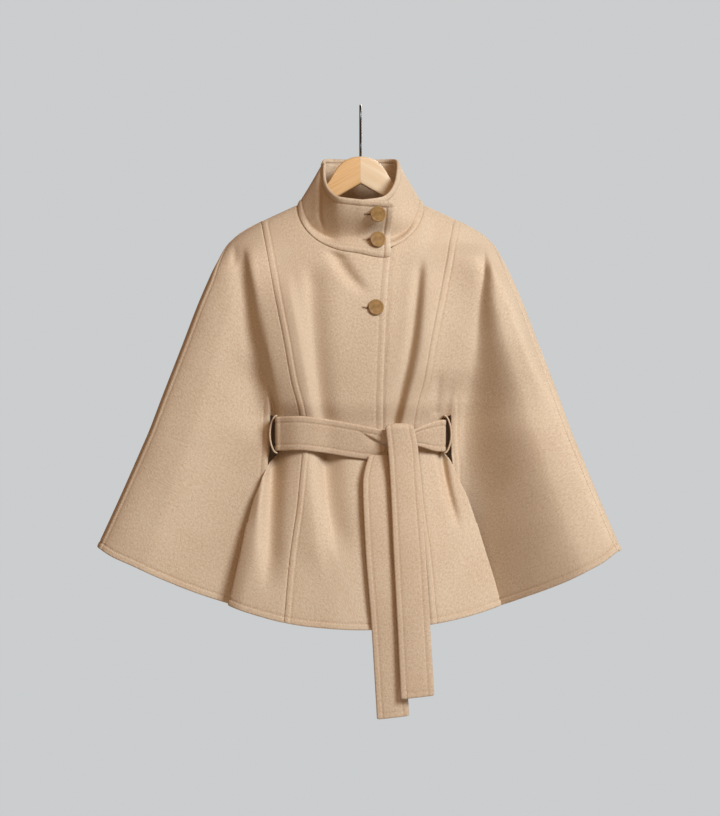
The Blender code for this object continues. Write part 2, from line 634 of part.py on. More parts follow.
def side_level(c, v, side):
    """Level of row v: rows cross the slit at its top and its low end, then spread to the hem."""
    inner = smooth_step(c, ZONE_ENDS[1], ZONE_ENDS[0])
    slit_top = SLIT_TOP - SLIT_STEP * inner
    low = hem_level(lambda z: side_section(c, z, side, False), "front")
    above = v / ROW_ENDS[0]
    first = SIDE_TOP + (slit_top - SIDE_TOP) * np.sign(above) * np.abs(above) ** 1.3
    second = slit_top + (SLIT_LOW - slit_top) * (v - ROW_ENDS[0]) / (ROW_ENDS[1] - ROW_ENDS[0])
    third = SLIT_LOW + (low - SLIT_LOW) * (v - ROW_ENDS[1]) / (1 - ROW_ENDS[1])
    return np.where(v < ROW_ENDS[0], first, np.where(v < ROW_ENDS[1], second, third))


def side_front(side):
    def surface(c, v):
        z = side_level(c, v, side)
        x, y = side_section(c, z, side)
        return np.stack([x, y, z], -1)

    return surface


def back_panel(seam_levels):
    """Surface of the back: c from the right overarm seam to the left one, v from neck to hem."""
    shares = seam_shares(-0.1465, seam_levels)

    def surface(c, v):
        def angle_of(z):
            return (2 * c - 1) * (np.pi - overarm_angle(z))

        top = back_neck_level(np.clip((2 * c - 1), -1, 1) * np.pi / 2)
        low = hem_level(lambda z: SECTION["half_width"](z) * np.sin(angle_of(z)), "back")
        z = top + (low - top) * np.interp(v, np.linspace(0, 1, len(shares)), shares)
        angle = angle_of(z)
        x = SECTION["half_width"](z) * np.sin(angle)
        cosine = np.cos(angle)
        behind = SECTION["back_depth"](z) * cosine + fold_sum(x, z, BACK_FOLDS) * np.maximum(cosine, 0)
        before = SECTION["front_depth"](z) * edge_round(cosine, z)
        edge = left_swing(np.where(cosine > 0, SECTION["half_width"](z), x), z)
        swing = edge * smooth_step(cosine, SWING_BEHIND, 0.0) * (x > 0)
        y = np.where(cosine > 0, behind, before) - swing
        return np.stack([swing_pull(x, z, cosine), y, z], -1)

    return surface


def neck_ring(steps=400):
    """Neckline from the upper front corner, round the right side and the back, to the under end."""
    legs = (
        ("front", 1, np.linspace(*neck_angles(1), steps)),
        ("back", 0, np.linspace(-np.pi / 2, np.pi / 2, steps)[1:-1]),
        ("front", -1, np.linspace(*neck_angles(-1), steps)[::-1]),
    )
    points = []
    laps = []
    for leg, lap, angles in legs:
        z = front_neck_level(lambda level: angles, lap) if leg == "front" else back_neck_level(angles)
        x = SECTION["half_width"](z) * np.sin(angles)
        behind = SECTION["back_depth"](z) * np.cos(angles)
        y = front_y(x, z, np.cos(angles), "front", lap) if leg == "front" else behind
        points.append(np.stack([x, y, z], -1))
        laps.append(np.full(len(angles), lap))
    return np.concatenate(points), np.concatenate(laps)


def rim_ring(base, laps):
    """Top rim point above each neckline point."""
    turn = np.degrees(np.arctan2(base[:, 0], -(base[:, 1] + 0.008)))
    size = np.abs(turn)
    rim = np.stack([np.sign(turn) * RIM_LINE["x"](size), RIM_LINE["y"](size), RIM_LINE["z"](size)], -1)
    on_lap = ((laps > 0) & (turn > 0))[:, None]
    share = np.clip(turn / turn[0], 0, 1.2)[:, None]
    middle = np.array([0.0, RIM[0][2], RIM[0][3]])
    rim = np.where(on_lap, middle + (np.array(RIM_LAP) - middle) * share, rim)
    rim[:, 1] -= np.where(laps > 0, LAP_LIFT * smooth_step(rim[:, 0], -0.050, -0.020), 0)
    rim[:, 1] += np.where((laps < 0) & (turn < 90), LAP_SINK * smooth_step(rim[:, 0], 0.054, 0.030), 0)
    return rim


NECK, NECK_LAP = neck_ring()
RIM_POINTS = rim_ring(NECK, NECK_LAP)
NECK_RUN = np.concatenate([[0.0], np.cumsum(np.linalg.norm(np.diff(NECK, axis=0), axis=1))])
NECK_RUN = NECK_RUN / NECK_RUN[-1]


def normals_of(surface, c, v, reach=2e-3):
    """Unit normals of a surface, from its two directions at each point."""
    across = surface(c + reach, v) - surface(c - reach, v)
    down = surface(c, v + reach) - surface(c, v - reach)
    normal = np.cross(across, down)
    return normal / np.maximum(np.linalg.norm(normal, axis=-1, keepdims=True), 1e-12)


def straight_collar(c, v):
    base = np.stack([np.interp(c, NECK_RUN, NECK[:, k]) for k in range(3)], -1)
    rim = np.stack([np.interp(c, NECK_RUN, RIM_POINTS[:, k]) for k in range(3)], -1)
    return base + (rim - base) * v[..., None]


def collar_surface(c, v):
    """The collar from neckline to rim, with the hollow that runs round it."""
    base = straight_collar(c, v)
    outward = -normals_of(straight_collar, c, v)
    facing = -base[..., 1] / np.hypot(base[..., 0], base[..., 1])
    hollow = SIDE_HOLLOW + (FRONT_HOLLOW - SIDE_HOLLOW) * smooth_step(facing, 0.10, 0.75)
    level = base[..., 2] - HOLLOW_Z
    near = np.exp(-((level / np.where(level > 0, HOLLOW_ABOVE, HOLLOW_BELOW)) ** 2))
    return base - outward * (hollow * near * smooth_step(v, 0.0, 0.12))[..., None]


def pull_in(points, gap):
    """Moves the four borders of a grid inward by gap, along the grid."""
    moved = points.copy()
    borders = (
        ((slice(None), 0), (slice(None), 1)),
        ((slice(None), -1), (slice(None), -2)),
        ((0, slice(None)), (1, slice(None))),
        ((-1, slice(None)), (-2, slice(None))),
    )
    for border, inner in borders:
        way = points[inner] - points[border]
        length = np.maximum(np.linalg.norm(way, axis=-1, keepdims=True), 1e-9)
        moved[border] += way / length * np.minimum(gap, length * 0.45)
    return moved


def material(name, colour, roughness, metallic=0.0):
    made = bpy.data.materials.new(name)
    made.use_nodes = True
    shader = made.node_tree.nodes["Principled BSDF"]
    shader.inputs["Base Color"].default_value = (*colour, 1.0)
    shader.inputs["Roughness"].default_value = roughness
    shader.inputs["Metallic"].default_value = metallic
    return made


def object_from(name, shape, looks, parent):
    """Closes a bmesh into a named object with outward faces and its own material."""
    bmesh.ops.recalc_face_normals(shape, faces=shape.faces)
    if shape.calc_volume(signed=True) < 0:
        bmesh.ops.reverse_faces(shape, faces=shape.faces)
    mesh = bpy.data.meshes.new(name)
    shape.to_mesh(mesh)
    shape.free()
    mesh.shade_smooth()
    mesh.set_sharp_from_angle(angle=math.radians(40))
    made = bpy.data.objects.new(name, mesh)
    made.parent = parent
    made.data.materials.append(looks)
    bpy.context.collection.objects.link(made)
    return made


def closed_wall(outer, inner, kept):
    """Joins two grids of points into one closed wall: both faces and a rim round every open border."""
    rows, columns = outer.shape[:2]
    shape = bmesh.new()
    skins = []
    for grid in (outer, inner):
        skins.append([[None] * columns for _ in range(rows)])
        for r in range(rows):
            for k in range(columns):
                used = any(
                    kept(i, j)
                    for i in (r - 1, r)
                    for j in (k - 1, k)
                    if 0 <= i < rows - 1 and 0 <= j < columns - 1
                )
                if used:
                    skins[-1][r][k] = shape.verts.new(grid[r, k])
    border = {}
    for r in range(rows - 1):
        for k in range(columns - 1):
            if not kept(r, k):
                continue
            corners = ((r, k), (r, k + 1), (r + 1, k + 1), (r + 1, k))
            shape.faces.new([skins[0][i][j] for i, j in corners])
            shape.faces.new([skins[1][i][j] for i, j in reversed(corners)])
            for start, end in zip(corners, corners[1:] + corners[:1]):
                if (end, start) in border:
                    del border[(end, start)]
                else:
                    border[(start, end)] = True
    for start, end in border:
        ring = (skins[0][end[0]][end[1]], skins[0][start[0]][start[1]])
        shape.faces.new((*ring, skins[1][start[0]][start[1]], skins[1][end[0]][end[1]]))
    return shape


def cloth_piece(name, surface, columns, rows, thickness, looks, parent, hole=None, gap=SEAM_GAP):
    """A cloth wall: the surface is its outside, and the wall goes in from there."""
    c, v = np.meshgrid(columns, rows)
    outer = surface(c, v)
    normal = normals_of(surface, c, v)
    if np.sum(normal[..., :2] * outer[..., :2]) < 0:
        normal = -normal
    outer = pull_in(outer, gap)
    inner = outer - normal * thickness

    def kept(r, k):
        return hole is None or not hole(columns[k] + 1e-6, columns[k + 1], rows[r] + 1e-6, rows[r + 1])

    return object_from(name, closed_wall(outer, inner, kept), looks, parent)


def tube_piece(name, path, radius, sides, looks, parent):
    """A round wire along a path, with a rounded end at each tip."""
    shape = bmesh.new()
    rings = []
    points = np.asarray(path, float)
    tangents = np.gradient(points, axis=0)
    tangents /= np.linalg.norm(tangents, axis=1, keepdims=True)
    across = np.array([1.0, 0.0, 0.0])
    for i, (point, tangent) in enumerate(zip(points, tangents)):
        other = np.cross(tangent, across)
        size = radius * (0.6 if i in (0, len(points) - 1) else 1.0)
        ring = []
        for k in range(sides):
            turn = 2 * math.pi * k / sides
            ring.append(shape.verts.new(point + size * (math.cos(turn) * across + math.sin(turn) * other)))
        rings.append(ring)
    for low, high in zip(rings, rings[1:]):
        for k in range(sides):
            shape.faces.new((low[k], low[(k + 1) % sides], high[(k + 1) % sides], high[k]))
    shape.faces.new(rings[0])
    shape.faces.new(rings[-1])
    return object_from(name, shape, looks, parent)


def across_waist(x):
    """Depth of what stands out most of the front behind the belt."""
    levels = np.linspace(-0.516, -0.466, 9)
    return np.min([front_y(x, z, cosine_at(x, z), "front") for z in levels], axis=0)


belt_bed = band_bed((-0.150, 0.150), across_waist, 0.010, 0.012)


def belt_stretch(rows, side):
    """Outside of a front stretch: c along the belt from the knot to inside the slit, v down across it."""
    marks = column(rows, BELT_COLUMNS, "x")
    middle = smooth_line(marks, column(rows, BELT_COLUMNS, "middle_z"))
    height = smooth_line(marks, column(rows, BELT_COLUMNS, "height"))
    knot_x = marks[-1] if side < 0 else marks[0]
    turn_x = side * BELT_TURN_X
    flat = abs(turn_x - knot_x)
    outer_radius = BELT_TURN_RADIUS + BELT_CLOTH / 2
    lift = LAP_LIFT + 2.5 * REST_GAP + BELT_CLOTH + BELT_LEAN / 2
    bend = outer_radius * math.pi / 2
    inside = BELT_INSIDE_RUN

    def surface(c, v):
        run = c * (flat + bend + inside)
        on_x = knot_x + side * np.minimum(run, flat)
        z = middle(on_x) + height(on_x) * (0.5 - v)
        y = belt_bed(on_x) - lift - BELT_LEAN * (0.5 - v)
        turn = np.clip((run - flat) / outer_radius, 0, np.pi / 2)
        straight = np.clip((run - flat - bend) / inside, 0, None)
        x = on_x + side * outer_radius * np.sin(turn)
        y = y + outer_radius * (1 - np.cos(turn))
        y = y + straight * (BELT_INSIDE_Y - y)
        level = np.where(run > flat, middle(turn_x) + height(turn_x) * (0.5 - v), z)
        return np.stack([x, y, level], -1)

    return surface


def belt_inside():
    """Outside of the stretch that runs round inside the back, from one slit to the other."""
    half = np.array(BELT_INSIDE, float)
    path = np.concatenate([half * (-1, 1), half[::-1][1:]])
    run = np.concatenate([[0.0], np.cumsum(np.linalg.norm(np.diff(path, axis=0), axis=1))])
    x_line = smooth_line(run, path[:, 0])
    y_line = smooth_line(run, path[:, 1])

    def surface(c, v):
        at = c * run[-1]
        ahead = np.stack([x_line(at + 1e-4) - x_line(at - 1e-4), y_line(at + 1e-4) - y_line(at - 1e-4)], -1)
        ahead = ahead / np.linalg.norm(ahead, axis=-1, keepdims=True)
        x = x_line(at) - ahead[..., 1] * BELT_CLOTH / 2
        y = y_line(at) + ahead[..., 0] * BELT_CLOTH / 2
        return np.stack([x, y, BELT_INSIDE_Z + BELT_WIDTH * (0.5 - v)], -1)

    return surface


def tail_bed(line):
    """Depth of the cloth under a tail at each level: the front, then straight down below the hem."""
    def across_tail(z):
        held = np.maximum(z, HEM["front"](line["x_left"](z)) + 4 * MM)
        shares = np.linspace(-0.1, 1.1, 9)
        spots = [line["x_right"](z) + (line["x_left"](z) - line["x_right"](z)) * c for c in shares]
        return np.min([front_y(x, held, cosine_at(x, held), "front") for x in spots], axis=0)

    return band_bed((-0.90, -0.44), across_tail, 0.020, 0.030)


def belt_tail(rows, turned):
    """Outside of a tail: c from its wearer's right edge to its left one, v down from its top."""
    line = lines_of(rows, TAIL_COLUMNS)
    bed = tail_bed(line)
    top = rows[0][0]
    low = rows[-1][0]
    bend = TURNOVER_RADIUS * math.pi
    hidden = bend + TURNOVER_BACK if turned else 0.0

    def surface(c, v):
        drop = top - low + TAIL_SLANT * (0.5 - c) * v ** 4
        run = v * (drop + hidden) - hidden
        z = top - np.maximum(run, 0.0)
        x = line["x_right"](z) + (line["x_left"](z) - line["x_right"](z)) * c
        y = bed(z) - LAP_LIFT - line["stand_off"](z) - BELT_CLOTH - TAIL_CROWN * (1 - (2 * c - 1) ** 2)
        turn = np.clip(-run / TURNOVER_RADIUS, 0, np.pi)
        puff = 1 - TURNOVER_PUFF * np.abs(2 * c - 1) ** 3
        z = z + TURNOVER_RADIUS * puff * np.sin(turn) - np.clip(-run - bend, 0, None)
        y = y + TURNOVER_RADIUS * (1 - np.cos(turn))
        return np.stack([x, y, z], -1)

    return surface


def grid_steps(count):
    return np.linspace(0, 1, count + 1)


def strip_piece(name, centre_line, across, width, thickness, looks, parent):
    """A flat strip along a path: across is its width direction, its thickness is square to both."""
    points = np.asarray(centre_line, float)
    way = np.gradient(points, axis=0)
    out = np.cross(way, np.asarray(across, float))
    out /= np.linalg.norm(out, axis=1, keepdims=True)
    sides = np.stack([points - np.asarray(across) * width / 2, points + np.asarray(across) * width / 2], 1)
    outer = sides + out[:, None] * thickness / 2
    inner = sides - out[:, None] * thickness / 2
    return object_from(name, closed_wall(outer, inner, lambda r, k: True), looks, parent)


def button_piece(name, spot, normal, looks, parent):
    """A turned button: its profile spun about its axis, then set on the cloth."""
    shape = bmesh.new()
    shares = column(BUTTON_PROFILE, BUTTON_COLUMNS, "radius_share")
    heights = column(BUTTON_PROFILE, BUTTON_COLUMNS, "height_share")
    outline = [
        shape.verts.new((share * BUTTON_RADIUS, 0.0, height * BUTTON_HEIGHT))
        for share, height in zip(shares, heights)
    ]
    edges = [shape.edges.new(pair) for pair in zip(outline, outline[1:])]
    bmesh.ops.spin(
        shape,
        geom=outline + edges,
        cent=(0, 0, 0),
        axis=(0, 0, 1),
        angle=2 * math.pi,
        steps=BUTTON_SIDES,
        use_merge=True,
    )
    bmesh.ops.remove_doubles(shape, verts=shape.verts, dist=1e-6)
    made = object_from(name, shape, looks, parent)
    from_z = np.array([0.0, 0.0, 1.0])
    turn_axis = np.cross(from_z, normal)
    angle = math.acos(float(np.clip(np.dot(from_z, normal), -1, 1)))
    made.rotation_mode = "AXIS_ANGLE"
    made.rotation_axis_angle = (angle, *(turn_axis / np.linalg.norm(turn_axis)))
    made.location = spot
    return made


def shoulder_z(x):
    """Height of the shoulder ridge at a distance from the middle."""
    levels = np.linspace(-0.1405, -0.215, 400)
    return np.interp(x, SECTION["half_width"](levels), levels)


def wooden_arm(name, side, looks, parent):
    """One arm of the hanger: rounded sections from the middle joint to the tip under the shoulder."""
    shape = bmesh.new()
    stations = list(np.linspace(0.0, NECK_HALF_WIDTH, 13))
    stations += list(np.linspace(NECK_HALF_WIDTH, HANGER_TIP_X, 8)[1:])
    stations += [HANGER_TIP_X + 0.0022, HANGER_TIP_X + 0.0034]
    shrink = [0.0] * (len(stations) - 2) + [0.0016, 0.0042]
    rings = []
    for u, less in zip(stations, shrink):
        held = min(u, HANGER_TIP_X)
        clearance = HANGER_CLEARANCE + HANGER_TIP_CLEARANCE * float(smooth_step(held, 0.135, 0.175))
        under_cloth = float(shoulder_z(held)) - CLOTH - clearance
        top = (float(WOOD["top_z"](u)) if u < NECK_HALF_WIDTH else under_cloth) - less
        low = WOOD_APEX_Z - WOOD_SLOPE * u + less
        half = HANGER_HALF_THICK - HANGER_TIP_THIN * (held / HANGER_TIP_X) ** 2 - less
        edge = HANGER_EDGE
        profile = (
            (-half, top - edge), (-half + edge * 0.3, top - edge * 0.3), (-half + edge, top),
            (half - edge, top), (half - edge * 0.3, top - edge * 0.3), (half, top - edge),
            (half, low + edge), (half - edge, low), (-half + edge, low), (-half, low + edge),
        )
        x = side * max(u, 0.00015)
        rings.append([shape.verts.new((x, y, z)) for y, z in profile])
    count = len(rings[0])
    for near, far in zip(rings, rings[1:]):
        for k in range(count):
            shape.faces.new((near[k], near[(k + 1) % count], far[(k + 1) % count], far[k]))
    shape.faces.new(rings[0])
    shape.faces.new(rings[-1])
    return object_from(name, shape, looks, parent)


def hook_path():
    """Middle line of the wire: shank, bend to the front, crook, tip behind."""
    centre_z = WIRE_RADIUS - CROOK_RADIUS
    points = [(0.0, 0.0, SHANK_LOW), (0.0, 0.0, SHANK_LOW + 0.0006)]
    for t in np.linspace(0, 1, 11):
        ease = t * t * (3 - 2 * t)
        points.append((0.0, -CROOK_RADIUS * ease, SHANK_BEND + (centre_z - SHANK_BEND) * t))
    for degrees in np.linspace(180, HOOK_TIP_DEG, 25)[1:]:
        turn = math.radians(degrees)
        points.append((0.0, CROOK_RADIUS * math.cos(turn), centre_z + CROOK_RADIUS * math.sin(turn)))
    last = points[-1]
    turn = math.radians(HOOK_TIP_DEG)
    points.append((0.0, last[1] + 0.0007 * math.sin(turn), last[2] - 0.0007 * math.cos(turn)))
    return points


def knot_piece(name, looks, parent):
    """Wrapped core of the knot: a flat rounded pad between the two stretches, under the turned tail."""
    half = np.array(KNOT_HALF)
    line = lines_of(TAIL_OVER, TAIL_COLUMNS)
    behind_tail = float(tail_bed(line)(KNOT_Z) - LAP_LIFT - line["stand_off"](KNOT_Z))
    centre = np.array([KNOT_X, behind_tail + 2.5 * REST_GAP + half[1] - KNOT_TUCK, KNOT_Z])
    shape = bmesh.new()
    bmesh.ops.create_uvsphere(shape, u_segments=16, v_segments=10, radius=1.0)
    for vert in shape.verts:
        flat = np.sign(vert.co) * np.abs(vert.co) ** 0.7
        vert.co = centre + flat * half
    return object_from(name, shape, looks, parent)


def loop_piece(name, side, looks, parent):
    """A belt loop: a thin strip bowed round the belt where it turns in through the slit."""
    points = []
    levels = np.linspace(*LOOP_LEVELS, 13)
    across = np.linspace(ZONE_ENDS[0] - 0.02, ZONE_ENDS[0] + 0.06, 20)
    feet = [np.min(side_section(across, np.full_like(across, z), side)[1]) for z in levels[[0, -1]]]
    anchor_y = float(min(feet)) + 0.0004
    for t, z in zip(np.linspace(0, 1, len(levels)), levels):
        bow = abs(math.sin(math.pi * t)) ** 0.5
        reach = LOOP_FOOT_X[side] + (LOOP_REACH_X - LOOP_FOOT_X[side]) * bow
        points.append((side * reach, anchor_y - LOOP_WIDTH / 2 + LOOP_SEAT_Y[side], z))
    return strip_piece(name, points, (0.0, 1.0, 0.0), LOOP_WIDTH, LOOP_CLOTH, looks, parent)


def build():
    for old in list(bpy.data.objects):
        bpy.data.objects.remove(old, do_unlink=True)

    camel = material("camel_wool", (0.597, 0.445, 0.301), 0.95)
    camel_belt = material("camel_wool_belt", (0.580, 0.430, 0.290), 0.95)
    horn = material("button_horn", (0.397, 0.234, 0.117), 0.45)
    beech = material("hanger_beech", (0.760, 0.520, 0.290), 0.50)
    steel = material("hook_steel", (0.600, 0.600, 0.600), 0.25, 1.0)

    root = bpy.data.objects.new("cape", None)
    bpy.context.collection.objects.link(root)

    zone_marks = (0.0, *ZONE_ENDS, 1.0)
    side_columns = np.concatenate(
        [np.linspace(a, b, n + 1)[:-1] for a, b, n in zip(zone_marks, zone_marks[1:], SIDE_ZONES)] + [[1.0]]
    )
    side_rows = np.concatenate([
        np.linspace(0.0, ROW_ENDS[0], ROWS_ABOVE_SLIT + 1)[:-1],
        ROW_ENDS[0] + (ROW_ENDS[1] - ROW_ENDS[0]) * np.array(SLIT_ROW_SHARES),
        np.linspace(ROW_ENDS[1], 1.0, ROWS_BELOW_SLIT + 1),
    ])
    seam_rows = grid_steps(len(side_rows) - 1 + SHOULDER_ROWS)
    neck_marks = []

    for name, lap in (("front_right", 1), ("front_left", -1)):
        surface = centre_front(lap, side_level(np.zeros_like(side_rows), side_rows, -lap))
        columns = grid_steps(FRONT_COLUMNS)
        cloth_piece(name, surface, columns, seam_rows, CLOTH, camel, root)
        neck_marks.append((lap, surface(columns, np.zeros_like(columns))))

    def slit(c_low, c_high, v_low, v_high):
        in_zone = c_low > ZONE_ENDS[0] and c_high < ZONE_ENDS[1] + 1e-6
        return in_zone and v_low > ROW_ENDS[0] and v_high < ROW_ENDS[1] + 1e-6

    for name, side in (("side_right", -1), ("side_left", 1)):
        cloth_piece(name, side_front(side), side_columns, side_rows, CLOTH, camel, root, slit)

    surface = back_panel(side_level(np.ones_like(side_rows), side_rows, 1))
    columns = grid_steps(BACK_COLUMNS)
    cloth_piece("back", surface, columns, seam_rows, CLOTH, camel, root, gap=BACK_SEAM_GAP)
    neck_marks.append((0, surface(columns, np.zeros_like(columns))))

    places = set()
    for lap, points in neck_marks:
        leg = np.flatnonzero(NECK_LAP == lap)
        for point in points:
            nearest = leg[np.argmin(np.linalg.norm(NECK[leg] - point, axis=1))]
            places.add(round(float(NECK_RUN[nearest]), 4))
    kept = [0.0]
    for place in sorted(places):
        if place - kept[-1] > 0.004:
            kept.append(place)
    kept[-1] = 1.0
    collar_rows = grid_steps(COLLAR_ROWS)
    columns = np.array(kept)
    gap = 2 * SEAM_GAP
    cloth_piece("collar", collar_surface, columns, collar_rows, COLLAR_CLOTH, camel, root, gap=gap)

    across = grid_steps(BELT_ROWS)
    belt_parts = (
        ("belt_wrap_right", belt_stretch(BELT_RIGHT, -1), grid_steps(24), across),
        ("belt_wrap_left", belt_stretch(BELT_LEFT, 1), grid_steps(14), across),
        ("belt_back", belt_inside(), grid_steps(24), grid_steps(2)),
        ("belt_tail_over", belt_tail(TAIL_OVER, True), across, grid_steps(30)),
        ("belt_tail_under", belt_tail(TAIL_UNDER, False), across, grid_steps(18)),
    )
    for name, surface, columns, rows in belt_parts:
        cloth_piece(name, surface, columns, rows, BELT_CLOTH, camel_belt, root)
    knot_piece("belt_knot", camel_belt, root)
    for name, side in (("belt_loop_right", -1), ("belt_loop_left", 1)):
        loop_piece(name, side, camel_belt, root)

    c_grid, v_grid = np.meshgrid(np.linspace(0.0, 0.16, 160), np.linspace(0, 1, 120))
    collar_points = collar_surface(c_grid, v_grid)
    collar_normals = -normals_of(collar_surface, c_grid, v_grid)
    front_c, front_v = np.meshgrid(np.linspace(0.0, 0.6, 120), np.linspace(0.05, 0.4, 160))
    upper_front = centre_front(1, side_level(np.zeros_like(side_rows), side_rows, -1))
    front_points = upper_front(front_c, front_v)
    front_normals = normals_of(upper_front, front_c, front_v)
    front_normals = front_normals * -np.sign(front_normals[..., 1:2])
    for name, (x, z) in BUTTON_SPOTS.items():
        on_collar = z > -0.230
        points = collar_points if on_collar else front_points
        normals = collar_normals if on_collar else front_normals
        away = np.hypot(points[..., 0] - x, points[..., 2] - z)
        up = normals[away < BUTTON_RADIUS].mean(axis=0) * BUTTON_LEAN + np.array([0.0, -1.0, 0.0])
        up = up / np.linalg.norm(up)
        spot = np.array([x, points[away < BUTTON_RADIUS][:, 1].min(), z])
        clear = np.max((points[away < 1.1 * BUTTON_RADIUS] - spot) @ up)
        button_piece(name, spot + up * (clear + REST_GAP - BUTTON_PRESS.get(name, 0.0)), up, horn, root)

    for name, side in (("hanger_arm_right", -1), ("hanger_arm_left", 1)):
        wooden_arm(name, side, beech, root)
    tube_piece("hanger_hook", hook_path(), WIRE_RADIUS, WIRE_SIDES, steel, root)


build()
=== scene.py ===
# %% [markdown]
# # A belted wool cape on a wooden hanger
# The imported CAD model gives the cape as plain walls, at its real size. This lesson dresses it: each wall is
# replaced by a fine cloth shell on the same form, with its creases, raised seams, topstitching and edges.
# Everything is in metres, +Z is up and the front faces -Y. Right and left are the wearer's, so right is
# at -X.

# %% Load the frame
import math

import bpy
import numpy as np
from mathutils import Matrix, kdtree


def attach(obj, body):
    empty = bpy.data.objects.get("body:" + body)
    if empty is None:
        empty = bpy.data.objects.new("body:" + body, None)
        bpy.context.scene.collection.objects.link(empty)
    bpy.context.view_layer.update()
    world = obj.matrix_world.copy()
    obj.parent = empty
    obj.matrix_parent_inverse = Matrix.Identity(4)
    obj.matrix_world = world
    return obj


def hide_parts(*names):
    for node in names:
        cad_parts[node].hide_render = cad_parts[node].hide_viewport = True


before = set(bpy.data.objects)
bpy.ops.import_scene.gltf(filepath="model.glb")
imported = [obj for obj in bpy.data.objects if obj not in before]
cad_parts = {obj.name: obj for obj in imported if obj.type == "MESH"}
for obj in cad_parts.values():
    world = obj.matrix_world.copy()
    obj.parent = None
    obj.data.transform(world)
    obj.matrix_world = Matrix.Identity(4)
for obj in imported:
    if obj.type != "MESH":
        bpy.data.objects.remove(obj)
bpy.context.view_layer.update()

MM = 0.001

# %% [markdown]
# ## Camera
# The picture is taken level, from in front, with a long lens: the top of the hanger and the hem show no
# tilt. A camera 3 m away whose frame is 1.224 m high at the hanger gives 1.5 mm for each point of a picture
# that is 816 points high.

# %% Camera
FRAME_HEIGHT = 816   # points
METRES_PER_POINT = 1.5 * MM
CAMERA_AWAY = 3.0
CAMERA_X = -0.75 * MM
CAMERA_Z = -451.5 * MM
eye = bpy.data.cameras.new("camera")
eye.sensor_fit = "VERTICAL"
eye.sensor_height = 36.0
eye.lens = eye.sensor_height * CAMERA_AWAY / (FRAME_HEIGHT * METRES_PER_POINT)
camera = bpy.data.objects.new("camera", eye)
camera.location = (CAMERA_X, -CAMERA_AWAY, CAMERA_Z)
camera.rotation_euler = (math.pi / 2, 0, 0)
bpy.context.collection.objects.link(camera)
bpy.context.scene.camera = camera
print("camera: lens", round(eye.lens, 1), "mm")

# %% [markdown]
# ## Colours and nodes
# Colours are written as they are picked from a screen, in sRGB hex. Shaders work in linear light, so one
# function turns the first into the second. One more function adds a shader node with its settings and links,
# which keeps each material short enough to read as a recipe.

# %% Helpers for colours and nodes
def linear(code):
    """Linear red, green and blue with full cover, from sRGB hex."""
    parts = [int(code[i:i + 2], 16) / 255 for i in (1, 3, 5)]
    return (*(p / 12.92 if p <= 0.04045 else ((p + 0.055) / 1.055) ** 2.4 for p in parts), 1.0)


def add_node(tree, kind, settings=None, links=None, stops=()):
    """Adds a node of a kind, or takes one that is there already, and sets it up.

    A setting is a property, or the value of the socket with that name or number. A link comes from a socket,
    or from the first output of a node. Stops are the places and colours of a ramp, its two ends first.
    """
    node = tree.nodes.new(kind) if isinstance(kind, str) else kind
    for key, value in (settings or {}).items():
        if isinstance(key, str) and hasattr(node, key):
            setattr(node, key, value)
        else:
            node.inputs[key].default_value = value
    for key, source in (links or {}).items():
        socket = source.outputs[0] if hasattr(source, "outputs") else source
        tree.links.new(socket, node.inputs[key])
    for i, (place, code) in enumerate(stops):
        stop = node.color_ramp.elements[i] if i < 2 else node.color_ramp.elements.new(place)
        stop.position = place
        stop.color = linear(code)
    return node


def new_material(name):
    made = bpy.data.materials.new(name)
    made.use_nodes = True
    return made, made.node_tree, made.node_tree.nodes["Principled BSDF"]


print("linear of #CDB396:", np.round(linear("#CDB396"), 3))

# %% [markdown]
# ## Studio
# A pale grey room with three soft lights: the main one high on the wearer's left, a weak warm one high in
# front, and a broad one behind that shows the back. All are wide, so folds shade softly. The room's own warm
# light fills the shadows. A pale floor lies far below.

# %% World and lights
ROOM_GREY = "#CBCDCE"
AMBIENT = (0.200, 0.126, 0.082, 1.0)   # linear: what wool, wood and floor throw back into the shadows
world = bpy.data.worlds.new("pale_room")
world.use_nodes = True
tree = world.node_tree
seen = add_node(tree, tree.nodes["Background"], {"Color": linear(ROOM_GREY)})
glow = add_node(tree, "ShaderNodeBackground", {"Color": AMBIENT})
ray = add_node(tree, "ShaderNodeLightPath")
room = add_node(tree, "ShaderNodeMixShader", {}, {0: ray.outputs["Is Camera Ray"], 1: glow, 2: seen})
add_node(tree, tree.nodes["World Output"], {}, {"Surface": room})
bpy.context.scene.world = world
bpy.context.scene.view_settings.view_transform = "Standard"

LIGHT_COLUMNS = ("name", "turn_deg", "rise_deg", "away", "size", "watts", "colour")
LIGHTS = [
    ("key", 37.0, 26.0, 3.0, 1.2, 102.0, "#E8F1FF"),
    ("front_fill", 0.0, 38.0, 3.2, 1.8, 17.0, "#FFD8B4"),
    ("back_fill", 160.0, 24.0, 3.2, 1.8, 76.0, "#F8F3EE"),
]
MIDDLE = np.array([0.0, -0.05, -0.45])
for row in LIGHTS:
    light = dict(zip(LIGHT_COLUMNS, row))
    lamp = bpy.data.lights.new(light["name"], "AREA")
    lamp.shape = "DISK"
    lamp.size = light["size"]
    lamp.energy = light["watts"]
    lamp.color = linear(light["colour"])[:3]
    placed = bpy.data.objects.new(light["name"], lamp)
    turn = math.radians(light["turn_deg"])
    rise = math.radians(light["rise_deg"])
    level = math.cos(rise)
    from_middle = np.array([math.sin(turn) * level, -math.cos(turn) * level, math.sin(rise)])
    placed.location = MIDDLE + light["away"] * from_middle
    placed.rotation_euler = (math.pi / 2 - rise, 0, turn)
    bpy.context.collection.objects.link(placed)
print("room:", ROOM_GREY, "with", len(LIGHTS), "lights")

